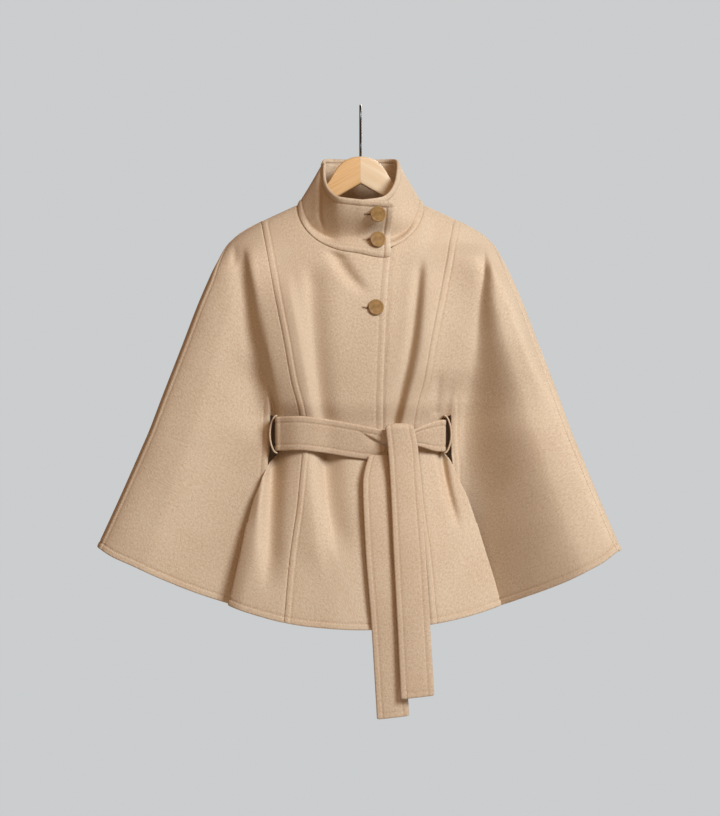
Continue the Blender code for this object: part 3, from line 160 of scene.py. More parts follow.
# %% Floor
FLOOR_Z = -1.45
FLOOR_RADIUS = 1.25
FLOOR_SIDES = 128
SPECKLES_ACROSS = 60.0
floor_mesh = bpy.data.meshes.new("floor")
turns = np.linspace(0, 2 * np.pi, FLOOR_SIDES + 1)[:-1]
ring = [(FLOOR_RADIUS * math.cos(t), FLOOR_RADIUS * math.sin(t), FLOOR_Z) for t in turns]
floor_mesh.from_pydata(ring, [], [list(range(FLOOR_SIDES))])
floor = bpy.data.objects.new("floor", floor_mesh)
bpy.context.collection.objects.link(floor)
matte_paint, tree, shader = new_material("matte_floor_paint")
speckle = add_node(tree, "ShaderNodeTexNoise", {"Scale": SPECKLES_ACROSS, "Detail": 4.0})
paint = add_node(tree, "ShaderNodeMix", {"data_type": "RGBA", 6: linear("#D2D3D3"), 7: linear("#D8D8D7")},
                 {0: speckle})
add_node(tree, shader, {"Roughness": 0.9}, {"Base Color": paint.outputs[2]})
floor.data.materials.append(matte_paint)
print("floor", -FLOOR_Z, "m below the hook")

# %% [markdown]
# ## Camel wool
# The cape is a heavy felted wool coating: woven, milled until the fibres mat, then brushed to a short nap.
# The eye sees no shine, a soft bright rim where the nap stands up against the light, and flecks of lighter
# and darker fibre that lean one way. The real flecks are about 1.5 mm apart, too fine for this picture, so
# they are drawn about twice as coarse. The inside of each panel is drawn darker: painted shade for the dark
# inside of the cape.
# Coordinates come from the cloth itself, in metres along its width and length, so the pattern keeps its
# scale on every piece.

# %% Wool material
FIBRE_LEAN = math.radians(34)
FIBRE_WIDTH = 2.6 * MM
FIBRE_LENGTH = 4.4 * MM
FLECK_SIZE = 3.2 * MM
NAP_SIZE = 1.6 * MM
TONE_SIZE = 90 * MM
INSIDE_SHADE_TONE = (0.50, 0.44, 0.38, 1.0)   # painted shade on the cloth's inside, against its face


def wool(name, dark, middle, light):
    made, tree, shader = new_material(name)
    cloth = add_node(tree, "ShaderNodeUVMap", {"uv_map": "cloth"})
    lean = add_node(tree, "ShaderNodeMapping", {"Rotation": (0, 0, FIBRE_LEAN)}, {"Vector": cloth})
    combing = (1 / FIBRE_WIDTH, 1 / FIBRE_LENGTH, 1)
    comb = add_node(tree, "ShaderNodeMapping", {"Scale": combing}, {"Vector": lean})
    fibre = add_node(tree, "ShaderNodeTexNoise", {"Scale": 1.0, "Detail": 2.0, "Roughness": 0.55},
                     {"Vector": comb})
    fleck = add_node(tree, "ShaderNodeTexNoise", {"Scale": 1 / FLECK_SIZE, "Detail": 2.0, "Roughness": 0.6},
                     {"Vector": cloth})
    nap = add_node(tree, "ShaderNodeTexNoise", {"Scale": 1 / NAP_SIZE, "Detail": 2.0, "Roughness": 0.6},
                   {"Vector": cloth})
    tone = add_node(tree, "ShaderNodeTexNoise", {"Scale": 1 / TONE_SIZE, "Detail": 2.0}, {"Vector": cloth})
    combed = add_node(tree, "ShaderNodeMath", {"operation": "MULTIPLY", 1: 0.40}, {0: fibre})
    specks = add_node(tree, "ShaderNodeMath", {"operation": "MULTIPLY_ADD", 1: 0.40}, {0: fleck, 2: combed})
    pile = add_node(tree, "ShaderNodeMath", {"operation": "MULTIPLY_ADD", 1: 0.20}, {0: nap, 2: specks})
    shade = add_node(tree, "ShaderNodeMath", {"operation": "MULTIPLY_ADD", 1: 0.20}, {0: tone, 2: pile})
    colours = add_node(tree, "ShaderNodeValToRGB", {}, {"Fac": shade},
                       [(0.44, dark), (0.76, light), (0.60, middle)])
    bump = add_node(tree, "ShaderNodeBump", {"Strength": 0.75, "Distance": 0.9 * MM}, {"Height": pile})
    # Painted shade: where this attribute marks a panel's inside, the colour is darkened.
    inside_shade = add_node(tree, "ShaderNodeAttribute", {"attribute_name": "inside_shade"})
    inside_darkened = add_node(tree, "ShaderNodeMix", {"data_type": "RGBA", "blend_type": "MULTIPLY", 7: INSIDE_SHADE_TONE},
                     {0: inside_shade.outputs["Fac"], 6: colours})
    soft_nap = {"Sheen Weight": 0.10, "Sheen Roughness": 0.45, "Sheen Tint": linear("#F2E2CC")}
    add_node(tree, shader, {"Roughness": 0.95, "Specular IOR Level": 0.15, **soft_nap},
             {"Base Color": inside_darkened.outputs[2], "Normal": bump})
    return made


camel_wool = wool("felted_camel_wool", "#C2A686", "#CFB899", "#D9C5A8")
# The belt is drawn a little darker than the panels.
camel_wool_belt = wool("felted_camel_wool_belt", "#BB9F7F", "#C9B091", "#D3BDA0")
# Painted shade: a thin dark strip stands for the shadow inside each buttonhole's slit.
painted_shade_wool = wool("painted_buttonhole_shade", "#33241A", "#3E2C20", "#4A3628")
print("wool: fibres", FIBRE_LENGTH / MM, "mm, flecks", FLECK_SIZE / MM, "mm, nap", NAP_SIZE / MM, "mm")

# %% [markdown]
# ## Thread, horn, beech and steel
# The sewing thread is spun polyester in the cloth's own colour, a little darker and smoother. The buttons
# are turned from horn: brown, clouded, satin, with fine rings from the lathe. The hanger is lacquered beech,
# cut so that the grain follows each arm and meets in a chevron at the middle joint, with the short dark
# flecks that beech shows. The arm on the wearer's right is drawn darker and ruddier than the other, as
# painted shade. The hook is drawn steel wire: grey, with a soft bright line along it.

# %% Thread and horn materials
WAVE_PERIOD = 0.314   # a wave texture of scale 1 repeats after this length
PLY_PITCH = 0.9 * MM
thread, tree, shader = new_material("spun_polyester_thread")
spot = add_node(tree, "ShaderNodeTexCoord").outputs["Object"]
ply = add_node(tree, "ShaderNodeTexWave", {"bands_direction": "DIAGONAL", "Scale": WAVE_PERIOD / PLY_PITCH},
               {"Vector": spot}).outputs["Fac"]
twist = add_node(tree, "ShaderNodeMix", {"data_type": "RGBA", 6: linear("#AE8D69"), 7: linear("#C3A37F")},
                 {0: ply})
bump = add_node(tree, "ShaderNodeBump", {"Strength": 0.3, "Distance": 0.2 * MM}, {"Height": ply})
add_node(tree, shader, {"Roughness": 0.6}, {"Base Color": twist.outputs[2], "Normal": bump})

LATHE_PITCH = 0.45 * MM
CLOUD_SIZE = 7 * MM
STREAK_WIDTH = 1.2 * MM
STREAK_LENGTH = 9 * MM
horn, tree, shader = new_material("turned_horn")
spot = add_node(tree, "ShaderNodeTexCoord").outputs["Object"]
cloud = add_node(tree, "ShaderNodeTexNoise", {"Scale": 1 / CLOUD_SIZE, "Detail": 5.0, "Roughness": 0.6},
                 {"Vector": spot})
drawn = (1 / STREAK_WIDTH, 1 / STREAK_LENGTH, 1 / STREAK_WIDTH)
grain = add_node(tree, "ShaderNodeMapping", {"Scale": drawn}, {"Vector": spot})
streak = add_node(tree, "ShaderNodeTexNoise", {"Scale": 1.0, "Detail": 3.0}, {"Vector": grain})
both = add_node(tree, "ShaderNodeMath", {"operation": "MULTIPLY_ADD", 1: 0.4}, {0: streak, 2: cloud})
colours = add_node(tree, "ShaderNodeValToRGB", {}, {"Fac": both}, [(0.45, "#7C5B30"), (0.95, "#AD8853")])
lathe = {"wave_type": "RINGS", "rings_direction": "Z", "Scale": WAVE_PERIOD / LATHE_PITCH}
rings = add_node(tree, "ShaderNodeTexWave", lathe, {"Vector": spot}).outputs["Fac"]
bump = add_node(tree, "ShaderNodeBump", {"Strength": 0.12, "Distance": 0.1 * MM}, {"Height": rings})
add_node(tree, shader, {"Roughness": 0.50, "Specular IOR Level": 0.30},
         {"Base Color": colours, "Normal": bump})
print("thread: ply", PLY_PITCH / MM, "mm; horn: clouds", CLOUD_SIZE / MM, "mm, rings", LATHE_PITCH / MM, "mm")

# %% Beech and steel materials
GRAIN_WIDTH = 1.6 * MM
GRAIN_LENGTH = 70 * MM
YEAR_WIDTH = 9 * MM
YEAR_LENGTH = 160 * MM
RAY_WIDTH = 0.7 * MM
RAY_LENGTH = 3.5 * MM


def lacquered_beech(name, dark, light):
    made, tree, shader = new_material(name)
    along = add_node(tree, "ShaderNodeUVMap", {"uv_map": "grain"})
    sizes = ((GRAIN_LENGTH, GRAIN_WIDTH), (YEAR_LENGTH, YEAR_WIDTH), (RAY_LENGTH, RAY_WIDTH))
    fibres, years, dashes = (
        add_node(tree, "ShaderNodeMapping", {"Scale": (1 / length, 1 / width, 1)}, {"Vector": along})
        for length, width in sizes
    )
    fibre = add_node(tree, "ShaderNodeTexNoise", {"Scale": 1.0, "Detail": 4.0, "Roughness": 0.55},
                     {"Vector": fibres})
    year = add_node(tree, "ShaderNodeTexNoise", {"Scale": 1.0, "Detail": 2.0}, {"Vector": years})
    dash = add_node(tree, "ShaderNodeTexVoronoi", {"Scale": 1.0, "Randomness": 1.0}, {"Vector": dashes})
    dark_core = {"From Min": 0.10, "From Max": 0.26, "To Min": 0.16, "To Max": 0.0}
    rays = add_node(tree, "ShaderNodeMapRange", dark_core, {"Value": dash.outputs["Distance"]})
    bands = add_node(tree, "ShaderNodeMath", {"operation": "MULTIPLY_ADD", 1: 0.6}, {0: year, 2: fibre})
    tones = add_node(tree, "ShaderNodeMath", {"operation": "SUBTRACT"}, {0: bands, 1: rays})
    colours = add_node(tree, "ShaderNodeValToRGB", {}, {"Fac": tones}, [(0.45, dark), (1.0, light)])
    bump = add_node(tree, "ShaderNodeBump", {"Strength": 0.08, "Distance": 0.15 * MM}, {"Height": tones})
    add_node(tree, shader, {"Roughness": 0.45, "Coat Weight": 0.25, "Coat Roughness": 0.3},
             {"Base Color": colours, "Normal": bump})
    return made


# Painted shade: the wearer's right arm gets a darker, ruddier copy of the beech, the left arm a paler lit
# one.
beech_painted_shade = lacquered_beech("lacquered_beech_painted_shade", "#CF9A57", "#E4BC84")
beech_painted_light = lacquered_beech("lacquered_beech_painted_light", "#D9B585", "#EBD3AC")

SCRATCH_WIDTH = 0.3 * MM
SCRATCH_LENGTH = 12 * MM
steel, tree, shader = new_material("bright_drawn_steel_wire")
spot = add_node(tree, "ShaderNodeTexCoord").outputs["Object"]
drawn = (1 / SCRATCH_WIDTH, 1 / SCRATCH_WIDTH, 1 / SCRATCH_LENGTH)
draw = add_node(tree, "ShaderNodeMapping", {"Scale": drawn}, {"Vector": spot})
scratch = add_node(tree, "ShaderNodeTexNoise", {"Scale": 1.0, "Detail": 2.0}, {"Vector": draw})
rough = add_node(tree, "ShaderNodeMapRange", {"To Min": 0.34, "To Max": 0.42}, {"Value": scratch})
add_node(tree, shader, {"Base Color": linear("#6A6A68"), "Metallic": 1.0}, {"Roughness": rough})
print("beech: grain", GRAIN_WIDTH / MM, "mm wide; steel: scratches", SCRATCH_LENGTH / MM, "mm long")

# %% [markdown]
# ## The form
# A cape hangs from the shoulders, so its form is a stack of level sections: how wide it is, how deep in
# front and behind. Other tables give the lines sewn or folded across it. The CAD walls were made from the
# same form, so the cloth lies on them. The collar's buttons, the under tail and the ends of the belt differ
# by 2 to 3 mm, and the hidden top of the under tail by 8 mm.

# %% Tables of the form
SECTION_COLUMNS = ("z", "half_width", "front_depth", "body_rise", "back_depth")
SECTIONS = [
    (-0.1400, 0.0810, 0.016, 0.000, 0.046),
    (-0.1465, 0.0940, 0.022, 0.000, 0.052),
    (-0.1720, 0.1480, 0.044, 0.000, 0.066),
    (-0.1905, 0.1805, 0.055, 0.001, 0.072),
    (-0.2000, 0.1915, 0.059, 0.003, 0.075),
    (-0.2085, 0.1990, 0.061, 0.006, 0.077),
    (-0.2265, 0.2090, 0.063, 0.013, 0.080),
    (-0.2900, 0.2380, 0.064, 0.025, 0.086),
    (-0.3600, 0.2655, 0.060, 0.030, 0.090),
    (-0.4400, 0.2970, 0.056, 0.024, 0.093),
    (-0.4850, 0.3140, 0.058, 0.011, 0.095),
    (-0.5150, 0.3270, 0.058, 0.013, 0.096),
    (-0.5900, 0.3600, 0.062, 0.031, 0.100),
    (-0.6580, 0.3910, 0.068, 0.044, 0.104),
    (-0.8000, 0.4560, 0.078, 0.056, 0.110),
]
LINE_COLUMNS = ("z", "princess", "front_edge", "wing_edge", "bend")
LINES = [
    (-0.1720, 0.1480, 0.1484, 0.1490, 0.0003),
    (-0.1905, 0.1440, 0.1510, 0.1590, 0.0026),
    (-0.2150, 0.1385, 0.1500, 0.1620, 0.0040),
    (-0.2900, 0.1240, 0.1420, 0.1580, 0.0053),
    (-0.3520, 0.1115, 0.1350, 0.1520, 0.0056),
    (-0.4110, 0.1010, 0.1270, 0.1430, 0.0053),
    (-0.4570, 0.0895, 0.1195, 0.1370, 0.0055),
    (-0.4850, 0.0860, 0.1190, 0.1370, 0.0055),
    (-0.5150, 0.0850, 0.1203, 0.1380, 0.0060),
    (-0.5300, 0.0860, 0.1315, 0.1395, 0.0080),
    (-0.5500, 0.0880, 0.1405, 0.1405, 0.0100),
    (-0.5850, 0.0910, 0.1560, 0.1415, 0.0120),
    (-0.6670, 0.1020, 0.1745, 0.1470, 0.0140),
    (-0.7350, 0.1080, 0.1900, 0.1560, 0.0140),
    (-0.8000, 0.1130, 0.2050, 0.1650, 0.0140),
]
TROUGH_COLUMNS = ("z", "right_x", "right_soft", "left_x", "left_soft")
TROUGHS = [
    (-0.1900, 0.1740, 0.016, 0.1700, 0.018),
    (-0.2250, 0.1735, 0.008, 0.1720, 0.016),
    (-0.2500, 0.1710, 0.006, 0.1720, 0.016),
    (-0.2900, 0.1620, 0.007, 0.1720, 0.015),
    (-0.3600, 0.1500, 0.008, 0.1700, 0.016),
    (-0.4300, 0.1360, 0.010, 0.1600, 0.018),
    (-0.4700, 0.1270, 0.011, 0.1400, 0.018),
]
WING_COLUMNS = ("z", "right_x", "right_soft", "right_rise", "left_from", "left_to", "left_rise")
WINGS = [
    (-0.1900, 0.180, 0.008, 0.000, 0.181, 0.192, 0.000),
    (-0.2150, 0.181, 0.008, 0.000, 0.181, 0.193, 0.002),
    (-0.2320, 0.182, 0.008, 0.001, 0.180, 0.196, 0.010),
    (-0.2500, 0.183, 0.009, 0.002, 0.179, 0.199, 0.020),
    (-0.3080, 0.190, 0.030, 0.003, 0.171, 0.215, 0.028),
    (-0.3670, 0.198, 0.040, 0.004, 0.166, 0.232, 0.033),
    (-0.4250, 0.202, 0.050, 0.005, 0.156, 0.262, 0.047),
    (-0.4900, 0.210, 0.060, 0.006, 0.149, 0.295, 0.067),
    (-0.5600, 0.215, 0.070, 0.006, 0.146, 0.335, 0.086),
    (-0.6200, 0.220, 0.080, 0.006, 0.142, 0.365, 0.097),
    (-0.6730, 0.225, 0.090, 0.006, 0.146, 0.390, 0.103),
    (-0.8000, 0.240, 0.100, 0.006, 0.160, 0.444, 0.110),
]
HEM_COLUMNS = ("x", "front", "back")
HEMS = [
    (-0.4600, -0.6330, -0.6250),
    (-0.3930, -0.6530, -0.6530),
    (-0.3650, -0.6680, -0.6700),
    (-0.3310, -0.6825, -0.6950),
    (-0.2884, -0.7020, -0.7205),
    (-0.2403, -0.7215, -0.7385),
    (-0.1940, -0.7365, -0.7510),
    (-0.1486, -0.7500, -0.7635),
    (-0.1080, -0.7595, -0.7745),
    (-0.0675, -0.7650, -0.7815),
    (0.0000, -0.7685, -0.7860),
    (0.0675, -0.7655, -0.7815),
    (0.1080, -0.7605, -0.7745),
    (0.1486, -0.7525, -0.7635),
    (0.1940, -0.7395, -0.7510),
    (0.2403, -0.7195, -0.7385),
    (0.2884, -0.6965, -0.7205),
    (0.3310, -0.6730, -0.6950),
    (0.3650, -0.6555, -0.6620),
    (0.3930, -0.6480, -0.6480),
    (0.4600, -0.6250, -0.6250),
]
EDGE_COLUMNS = ("z", "x")
FRONT_EDGE = [(-0.2300, 0.0425), (-0.3000, 0.0370), (-0.4700, 0.0315), (-0.8000, 0.0315)]
print("form:", len(SECTIONS), "sections,", len(LINES), "levels of lines")

# %% [markdown]
# ## Creases
# Wool this heavy falls in few, soft folds. Each is a path down the cloth with its own width to either side,
# and it grows or dies along its length. The belt gathers the waist, so the sharpest ones run into it. The
# wings hang free of the belt and keep only the folds that start above the arm slits. The back gets its own
# set, of the same kind and just as uneven.

# %% Tables of creases
FOLD_COLUMNS = ("x_top", "z_top", "x_mid", "z_mid", "x_low", "z_low",
                "spread_right", "spread_left", "rise_top", "rise_low", "fade_top", "fade_low")
FRONT_FOLDS = [
    (-0.176, -0.205, -0.157, -0.341, -0.130, -0.445, 0.016, 0.007, -0.0100, -0.0080, 0.040, 0.070),
    (-0.191, -0.205, -0.187, -0.222, -0.186, -0.250, 0.006, 0.006, -0.0030, -0.0030, 0.012, 0.020),
    (-0.112, -0.243, -0.091, -0.352, -0.064, -0.490, 0.022, 0.010, 0.0060, 0.0060, 0.054, 0.015),
    (-0.073, -0.233, -0.067, -0.352, -0.055, -0.480, 0.010, 0.018, -0.0060, -0.0080, 0.040, 0.012),
    (-0.043, -0.218, -0.022, -0.253, 0.010, -0.292, 0.010, 0.012, -0.0105, -0.0080, 0.014, 0.030),
    (0.100, -0.224, 0.092, -0.345, 0.058, -0.490, 0.012, 0.022, 0.0055, 0.0095, 0.050, 0.012),
    (0.0885, -0.230, 0.077, -0.345, 0.0485, -0.485, 0.008, 0.006, -0.0055, -0.0090, 0.030, 0.010),
    (0.165, -0.205, 0.160, -0.300, 0.140, -0.440, 0.070, 0.032, 0.0160, 0.0080, 0.030, 0.050),
    (0.116, -0.393, 0.113, -0.425, 0.110, -0.465, 0.006, 0.006, -0.0020, -0.0030, 0.025, 0.008),
    (-0.129, -0.498, -0.131, -0.560, -0.134, -0.730, 0.011, 0.017, -0.0270, -0.0100, 0.010, 0.080),
    (-0.080, -0.498, -0.072, -0.590, -0.056, -0.720, 0.022, 0.013, 0.0085, 0.0040, 0.010, 0.080),
    (-0.0545, -0.498, -0.046, -0.590, -0.026, -0.680, 0.009, 0.022, -0.0180, -0.0090, 0.010, 0.060),
    (0.116, -0.500, 0.125, -0.559, 0.146, -0.640, 0.006, 0.006, -0.0150, -0.0040, 0.010, 0.050),
    (-0.150, -0.365, -0.140, -0.425, -0.137, -0.510, 0.034, 0.008, -0.0130, -0.0100, 0.050, 0.050),
    (-0.138, -0.505, -0.142, -0.550, -0.155, -0.640, 0.007, 0.007, 0.0100, 0.0020, 0.015, 0.050),
]
SLIT_TOP = -0.460
WING_FOLDS = [row for row in FRONT_FOLDS if row[FOLD_COLUMNS.index("z_top")] > SLIT_TOP]
BACK_FOLDS = [
    (-0.060, -0.230, -0.085, -0.500, -0.120, -0.860, 0.030, 0.022, -0.0150, -0.0190, 0.139, 0.126),
    (0.052, -0.260, 0.075, -0.500, 0.105, -0.860, 0.024, 0.032, -0.0130, -0.0200, 0.132, 0.120),
    (-0.150, -0.300, -0.195, -0.520, -0.250, -0.840, 0.028, 0.036, -0.0100, -0.0150, 0.119, 0.108),
    (0.155, -0.280, 0.190, -0.520, 0.240, -0.840, 0.036, 0.026, -0.0110, -0.0160, 0.123, 0.112),
    (-0.005, -0.420, -0.008, -0.600, -0.012, -0.880, 0.026, 0.030, 0.0080, 0.0110, 0.101, 0.092),
]
print("creases:", len(FRONT_FOLDS), "in front,", len(BACK_FOLDS), "behind")

# %% [markdown]
# ## Reading the tables
# A smooth line runs through the values of each column without overshooting, so a table of a dozen rows gives
# a clean curve at any level. All the functions work on whole grids of points at once.

# %% Lines through the tables
def column(table, names, wanted):
    place = names.index(wanted)
    return np.array([row[place] for row in table], float)


def smooth_line(marks, values):
    """A smooth line through marks and values that never overshoots, straight on beyond both ends."""
    order = np.argsort(marks)
    marks = np.asarray(marks, float)[order]
    values = np.asarray(values, float)[order]
    step = np.diff(marks)
    slope = np.diff(values) / step
    tangent = np.zeros(len(values))
    tangent[0] = slope[0]
    tangent[-1] = slope[-1]
    for i in range(1, len(values) - 1):
        if slope[i - 1] * slope[i] > 0:
            near = 2 * step[i] + step[i - 1]
            far = step[i] + 2 * step[i - 1]
            tangent[i] = (near + far) / (near / slope[i - 1] + far / slope[i])

    def at(mark):
        mark = np.asarray(mark, float)
        i = np.clip(np.searchsorted(marks, mark) - 1, 0, len(step) - 1)
        raw = (mark - marks[i]) / step[i]
        t = np.clip(raw, 0.0, 1.0)
        start = values[i] * (1 + 2 * t) * (1 - t) ** 2 + tangent[i] * step[i] * t * (1 - t) ** 2
        end = values[i + 1] * t * t * (3 - 2 * t) + tangent[i + 1] * step[i] * t * t * (t - 1)
        beyond = np.where(raw < 0, raw * tangent[i], np.where(raw > 1, (raw - 1) * tangent[i + 1], 0.0))
        return start + end + beyond * step[i]

    return at


def smooth_step(value, low, high):
    """0 at low, 1 at high, soft between. low may be the larger one."""
    t = np.clip((value - low) / (high - low), 0.0, 1.0)
    return t * t * (3 - 2 * t)


def lines_of(table, names):
    marks = column(table, names, names[0])
    return {name: smooth_line(marks, column(table, names, name)) for name in names[1:]}


SECTION = lines_of(SECTIONS, SECTION_COLUMNS)
LINE = lines_of(LINES, LINE_COLUMNS)
TROUGH = lines_of(TROUGHS, TROUGH_COLUMNS)
EDGE = lines_of(FRONT_EDGE, EDGE_COLUMNS)
WING = lines_of(WINGS, WING_COLUMNS)
HEM = lines_of(HEMS, HEM_COLUMNS)


def fold_sum(x, z, rows):
    """How far the folds move the cloth out at x, z."""
    total = np.zeros(np.broadcast(x, z).shape)
    for row in rows:
        fold = dict(zip(FOLD_COLUMNS, row))
        path = smooth_line([fold["z_top"], fold["z_mid"], fold["z_low"]],
                           [fold["x_top"], fold["x_mid"], fold["x_low"]])
        off = x - path(z)
        spread = np.where(off < 0, fold["spread_right"], fold["spread_left"])
        down = fold["z_top"] - z
        length = fold["z_top"] - fold["z_low"]
        fade = smooth_step(down, 0.0, fold["fade_top"]) * smooth_step(length - down, 0.0, fold["fade_low"])
        rise = fold["rise_top"] + (fold["rise_low"] - fold["rise_top"]) * np.clip(down / length, 0, 1)
        total = total + rise * fade * np.exp(-((off / spread) ** 2))
    return total


WAIST_Z = -0.490   # level of the belt's middle
print("half width at the belt:", round(float(SECTION["half_width"](WAIST_Z)), 3), "m")

# %% [markdown]
# ## Depth of the front
# The front is the section's own depth, plus the body that stands out between the two side wings, plus the
# creases. The left wing swings forward as a whole, the right one hangs straighter. The belt draws the cloth
# in beside the arm slits, and below it the edge of the right flap rolls in a little. Where the fronts lap,
# the upper one lies a little further out and the under one a little further in.

# %% Body and wings
BODY_TO_SKIRT = (-0.440, -0.515)   # levels between which the chest's form turns into the skirt's
LEFT_FLOOR = 0.85                  # share of the rise that the left side keeps out on its wing, high up
LEFT_FLOOR_FADE = (-0.470, -0.350)
FLAP_FALL = 0.30                   # share of the rise that the skirt loses toward its flaps
FLAT_BEYOND = 40                   # keeps the exponentials finite
WING_FADE = (0.0, 0.8)             # cosines between which the right wing's rise grows from its edge
SWING_LEAN = 0.10
SWING_LEAN_FADE = (-0.225, -0.300)
SWING_PULL = 0.45
SWING_PULL_FADE = (0.55, 0.15)
SQUARE_FADE = (0.92, 0.60)
SQUARE_LEVELS = (-0.185, -0.255)


def body_rise(x, z, part):
    """Share of the body's rise at x: all of it in the middle, none out on the wings."""
    right_off = (-x - TROUGH["right_x"](z)) / TROUGH["right_soft"](z)
    left_off = (x - TROUGH["left_x"](z)) / TROUGH["left_soft"](z)
    right, left = (1 / (1 + np.exp(np.clip(off, -FLAT_BEYOND, FLAT_BEYOND))) for off in (right_off, left_off))
    floor = LEFT_FLOOR * smooth_step(z, *LEFT_FLOOR_FADE)
    above = np.where(x < 0, right, floor + (1 - floor) * left)
    below = 1 - FLAP_FALL * (x / LINE["front_edge"](z)) ** 2 if part == "front" else 0.0
    blend = smooth_step(z, *BODY_TO_SKIRT)
    return above * (1 - blend) + below * blend


def left_swing(x, z):
    """How far the left wing swings forward at x: fast beside the body, then slowly on to its edge."""
    share = np.clip((x - WING["left_from"](z)) / (WING["left_to"](z) - WING["left_from"](z)), 0, 1)
    lean = SWING_LEAN * np.maximum(x - WING["left_from"](z), 0) * smooth_step(z, *SWING_LEAN_FADE)
    # The polynomial starts and ends level, and rises most in its first half.
    return WING["left_rise"](z) * share ** 2 * (10 - 20 * share + 15 * share ** 2 - 4 * share ** 3) + lean


def wing_rise(x, z, cosine):
    """How far a wing stands out beside the body. The left one swings forward as a whole, edge and all."""
    right = WING["right_rise"](z) * smooth_step((-x - WING["right_x"](z)) / WING["right_soft"](z), -1, 1)
    return np.where(x < 0, right * smooth_step(cosine, *WING_FADE), left_swing(x, z))


def swing_pull(x, z, cosine):
    """The edge of the left wing comes in a little toward the body as it swings forward."""
    pull = SWING_PULL * WING["left_rise"](z) * smooth_step(np.abs(cosine), *SWING_PULL_FADE)
    return np.where(x > 0, x * (1 - pull), x)


def edge_round(cosine, z):
    """The section's round: an ellipse in the middle, squarer where the cloth bends to the overarm seam."""
    size = np.abs(cosine)
    square = (1 - (1 - size ** 2) ** 4) ** (1 / 8)
    sharp = smooth_step(size, *SQUARE_FADE) * smooth_step(z, *SQUARE_LEVELS)
    return np.sign(cosine) * (size * (1 - sharp) + square * sharp)


print("the left wing swings forward by up to", column(WINGS, WING_COLUMNS, "left_rise").max(), "m")

# %% Depth of the front
EDGE_FADE = (0.22, 0.50)   # cosines of the section between which body and creases fade to the edge
SLIT_DIP = 0.014           # how far the belt draws the cloth in beside a slit
SLIT_DIP_FROM = 0.070
SLIT_DIP_TO = 0.125
SLIT_DIP_REACH = 0.060
LEFT_DIP_REACH = 0.040
SLIT_DIP_LOW = 0.026
DIP_LIMIT = 1.2
FLAP_ROLL = 0.008
FLAP_ROLL_WIDTH = 0.022
FLAP_ROLL_FADE = (-0.530, -0.570)
ROLL_LIMIT = 1.3
LAP_LIFT = 2.2 * MM
LAP_LIFT_SPAN = (-0.075, -0.028)
LAP_SINK = 3.6 * MM
LAP_SINK_SPAN = (0.100, 0.052)


def front_y(x, z, cosine, part, lap=0):
    """Depth of the front at x, z. lap is 1 on the upper front, -1 on the under one."""
    inside_edge = smooth_step(cosine, *EDGE_FADE)
    depth = SECTION["front_depth"](z) * edge_round(cosine, z)
    depth = depth + SECTION["body_rise"](z) * body_rise(x, z, part) * inside_edge
    if part == "wing":
        depth = depth + wing_rise(x, z, cosine)
    if part == "front":
        toward_slit = np.clip((np.abs(x) - SLIT_DIP_FROM) / (SLIT_DIP_TO - SLIT_DIP_FROM), 0, DIP_LIMIT) ** 2
        reach = np.where(z > WAIST_Z, np.where(x < 0, SLIT_DIP_REACH, LEFT_DIP_REACH), SLIT_DIP_LOW)
        depth = depth - SLIT_DIP * toward_slit * np.exp(-(((z - WAIST_Z) / reach) ** 2))
        near_edge = np.clip(1 - (LINE["front_edge"](z) + x) / FLAP_ROLL_WIDTH, 0, ROLL_LIMIT) ** 2
        depth = depth - FLAP_ROLL * near_edge * smooth_step(z, *FLAP_ROLL_FADE)
    if lap > 0:
        depth = depth + LAP_LIFT * smooth_step(x, *LAP_LIFT_SPAN)
    if lap < 0:
        depth = depth - LAP_SINK * smooth_step(x, *LAP_SINK_SPAN)
    return -(depth + fold_sum(x, z, FRONT_FOLDS if part == "front" else WING_FOLDS) * inside_edge)


def cosine_at(x, z):
    return np.sqrt(np.maximum(1 - (x / SECTION["half_width"](z)) ** 2, 0.0))


at_waist = front_y(0.0, WAIST_Z, cosine_at(0.0, WAIST_Z), "front")
print("front depth in the middle of the waist:", round(float(at_waist), 4), "m")

# %% Levels of neck and hem
HEM_START = -0.70
HEM_ROUNDS = 20
HALVINGS = 40
NECK_HALF_WIDTH = 0.094
NECK_LEVEL = -0.148
FRONT_NECK_DROP = 0.076
BACK_NECK_DROP = 0.004
LAP_NECK_DROP = 0.0145
LAP_NECK_SPAN = (-0.012, 0.050)
FRONT_NECK_RANGE = (-0.1405, -0.2700)
BACK_NECK_RANGE = (-0.1445, -0.1600)


def hem_level(x_of, layer):
    """Level where a column that runs down at x_of(level) meets the hem."""
    z = np.full_like(x_of(HEM_START), HEM_START)
    for _ in range(HEM_ROUNDS):
        z = HEM[layer](x_of(z))
    return z


def solve_level(inside, high, low):
    """Level between high and low where inside(level) turns false on the way down."""
    high = np.array(high, float)
    low = np.array(low, float)
    for _ in range(HALVINGS):
        middle = (high + low) / 2
        still = inside(middle)
        high = np.where(still, middle, high)
        low = np.where(still, low, middle)
    return (high + low) / 2


def neck_level(angle, drop, levels, lap=0):
    """Level of the neckline, an ellipse of that drop, at an angle of the section. The upper front's sags."""
    def inside(z):
        x = SECTION["half_width"](z) * np.sin(angle)
        sag = LAP_NECK_DROP * smooth_step(x, *LAP_NECK_SPAN) if lap > 0 else 0.0
        below = np.maximum(NECK_LEVEL - sag - z, 0.0)
        return (x / NECK_HALF_WIDTH) ** 2 + (below / drop) ** 2 < 1

    return solve_level(inside, np.full_like(angle, levels[0]), np.full_like(angle, levels[1]))


def front_neck_level(angle, lap):
    return neck_level(angle, FRONT_NECK_DROP, FRONT_NECK_RANGE, lap)


def back_neck_level(angle):
    return neck_level(angle, BACK_NECK_DROP, BACK_NECK_RANGE)


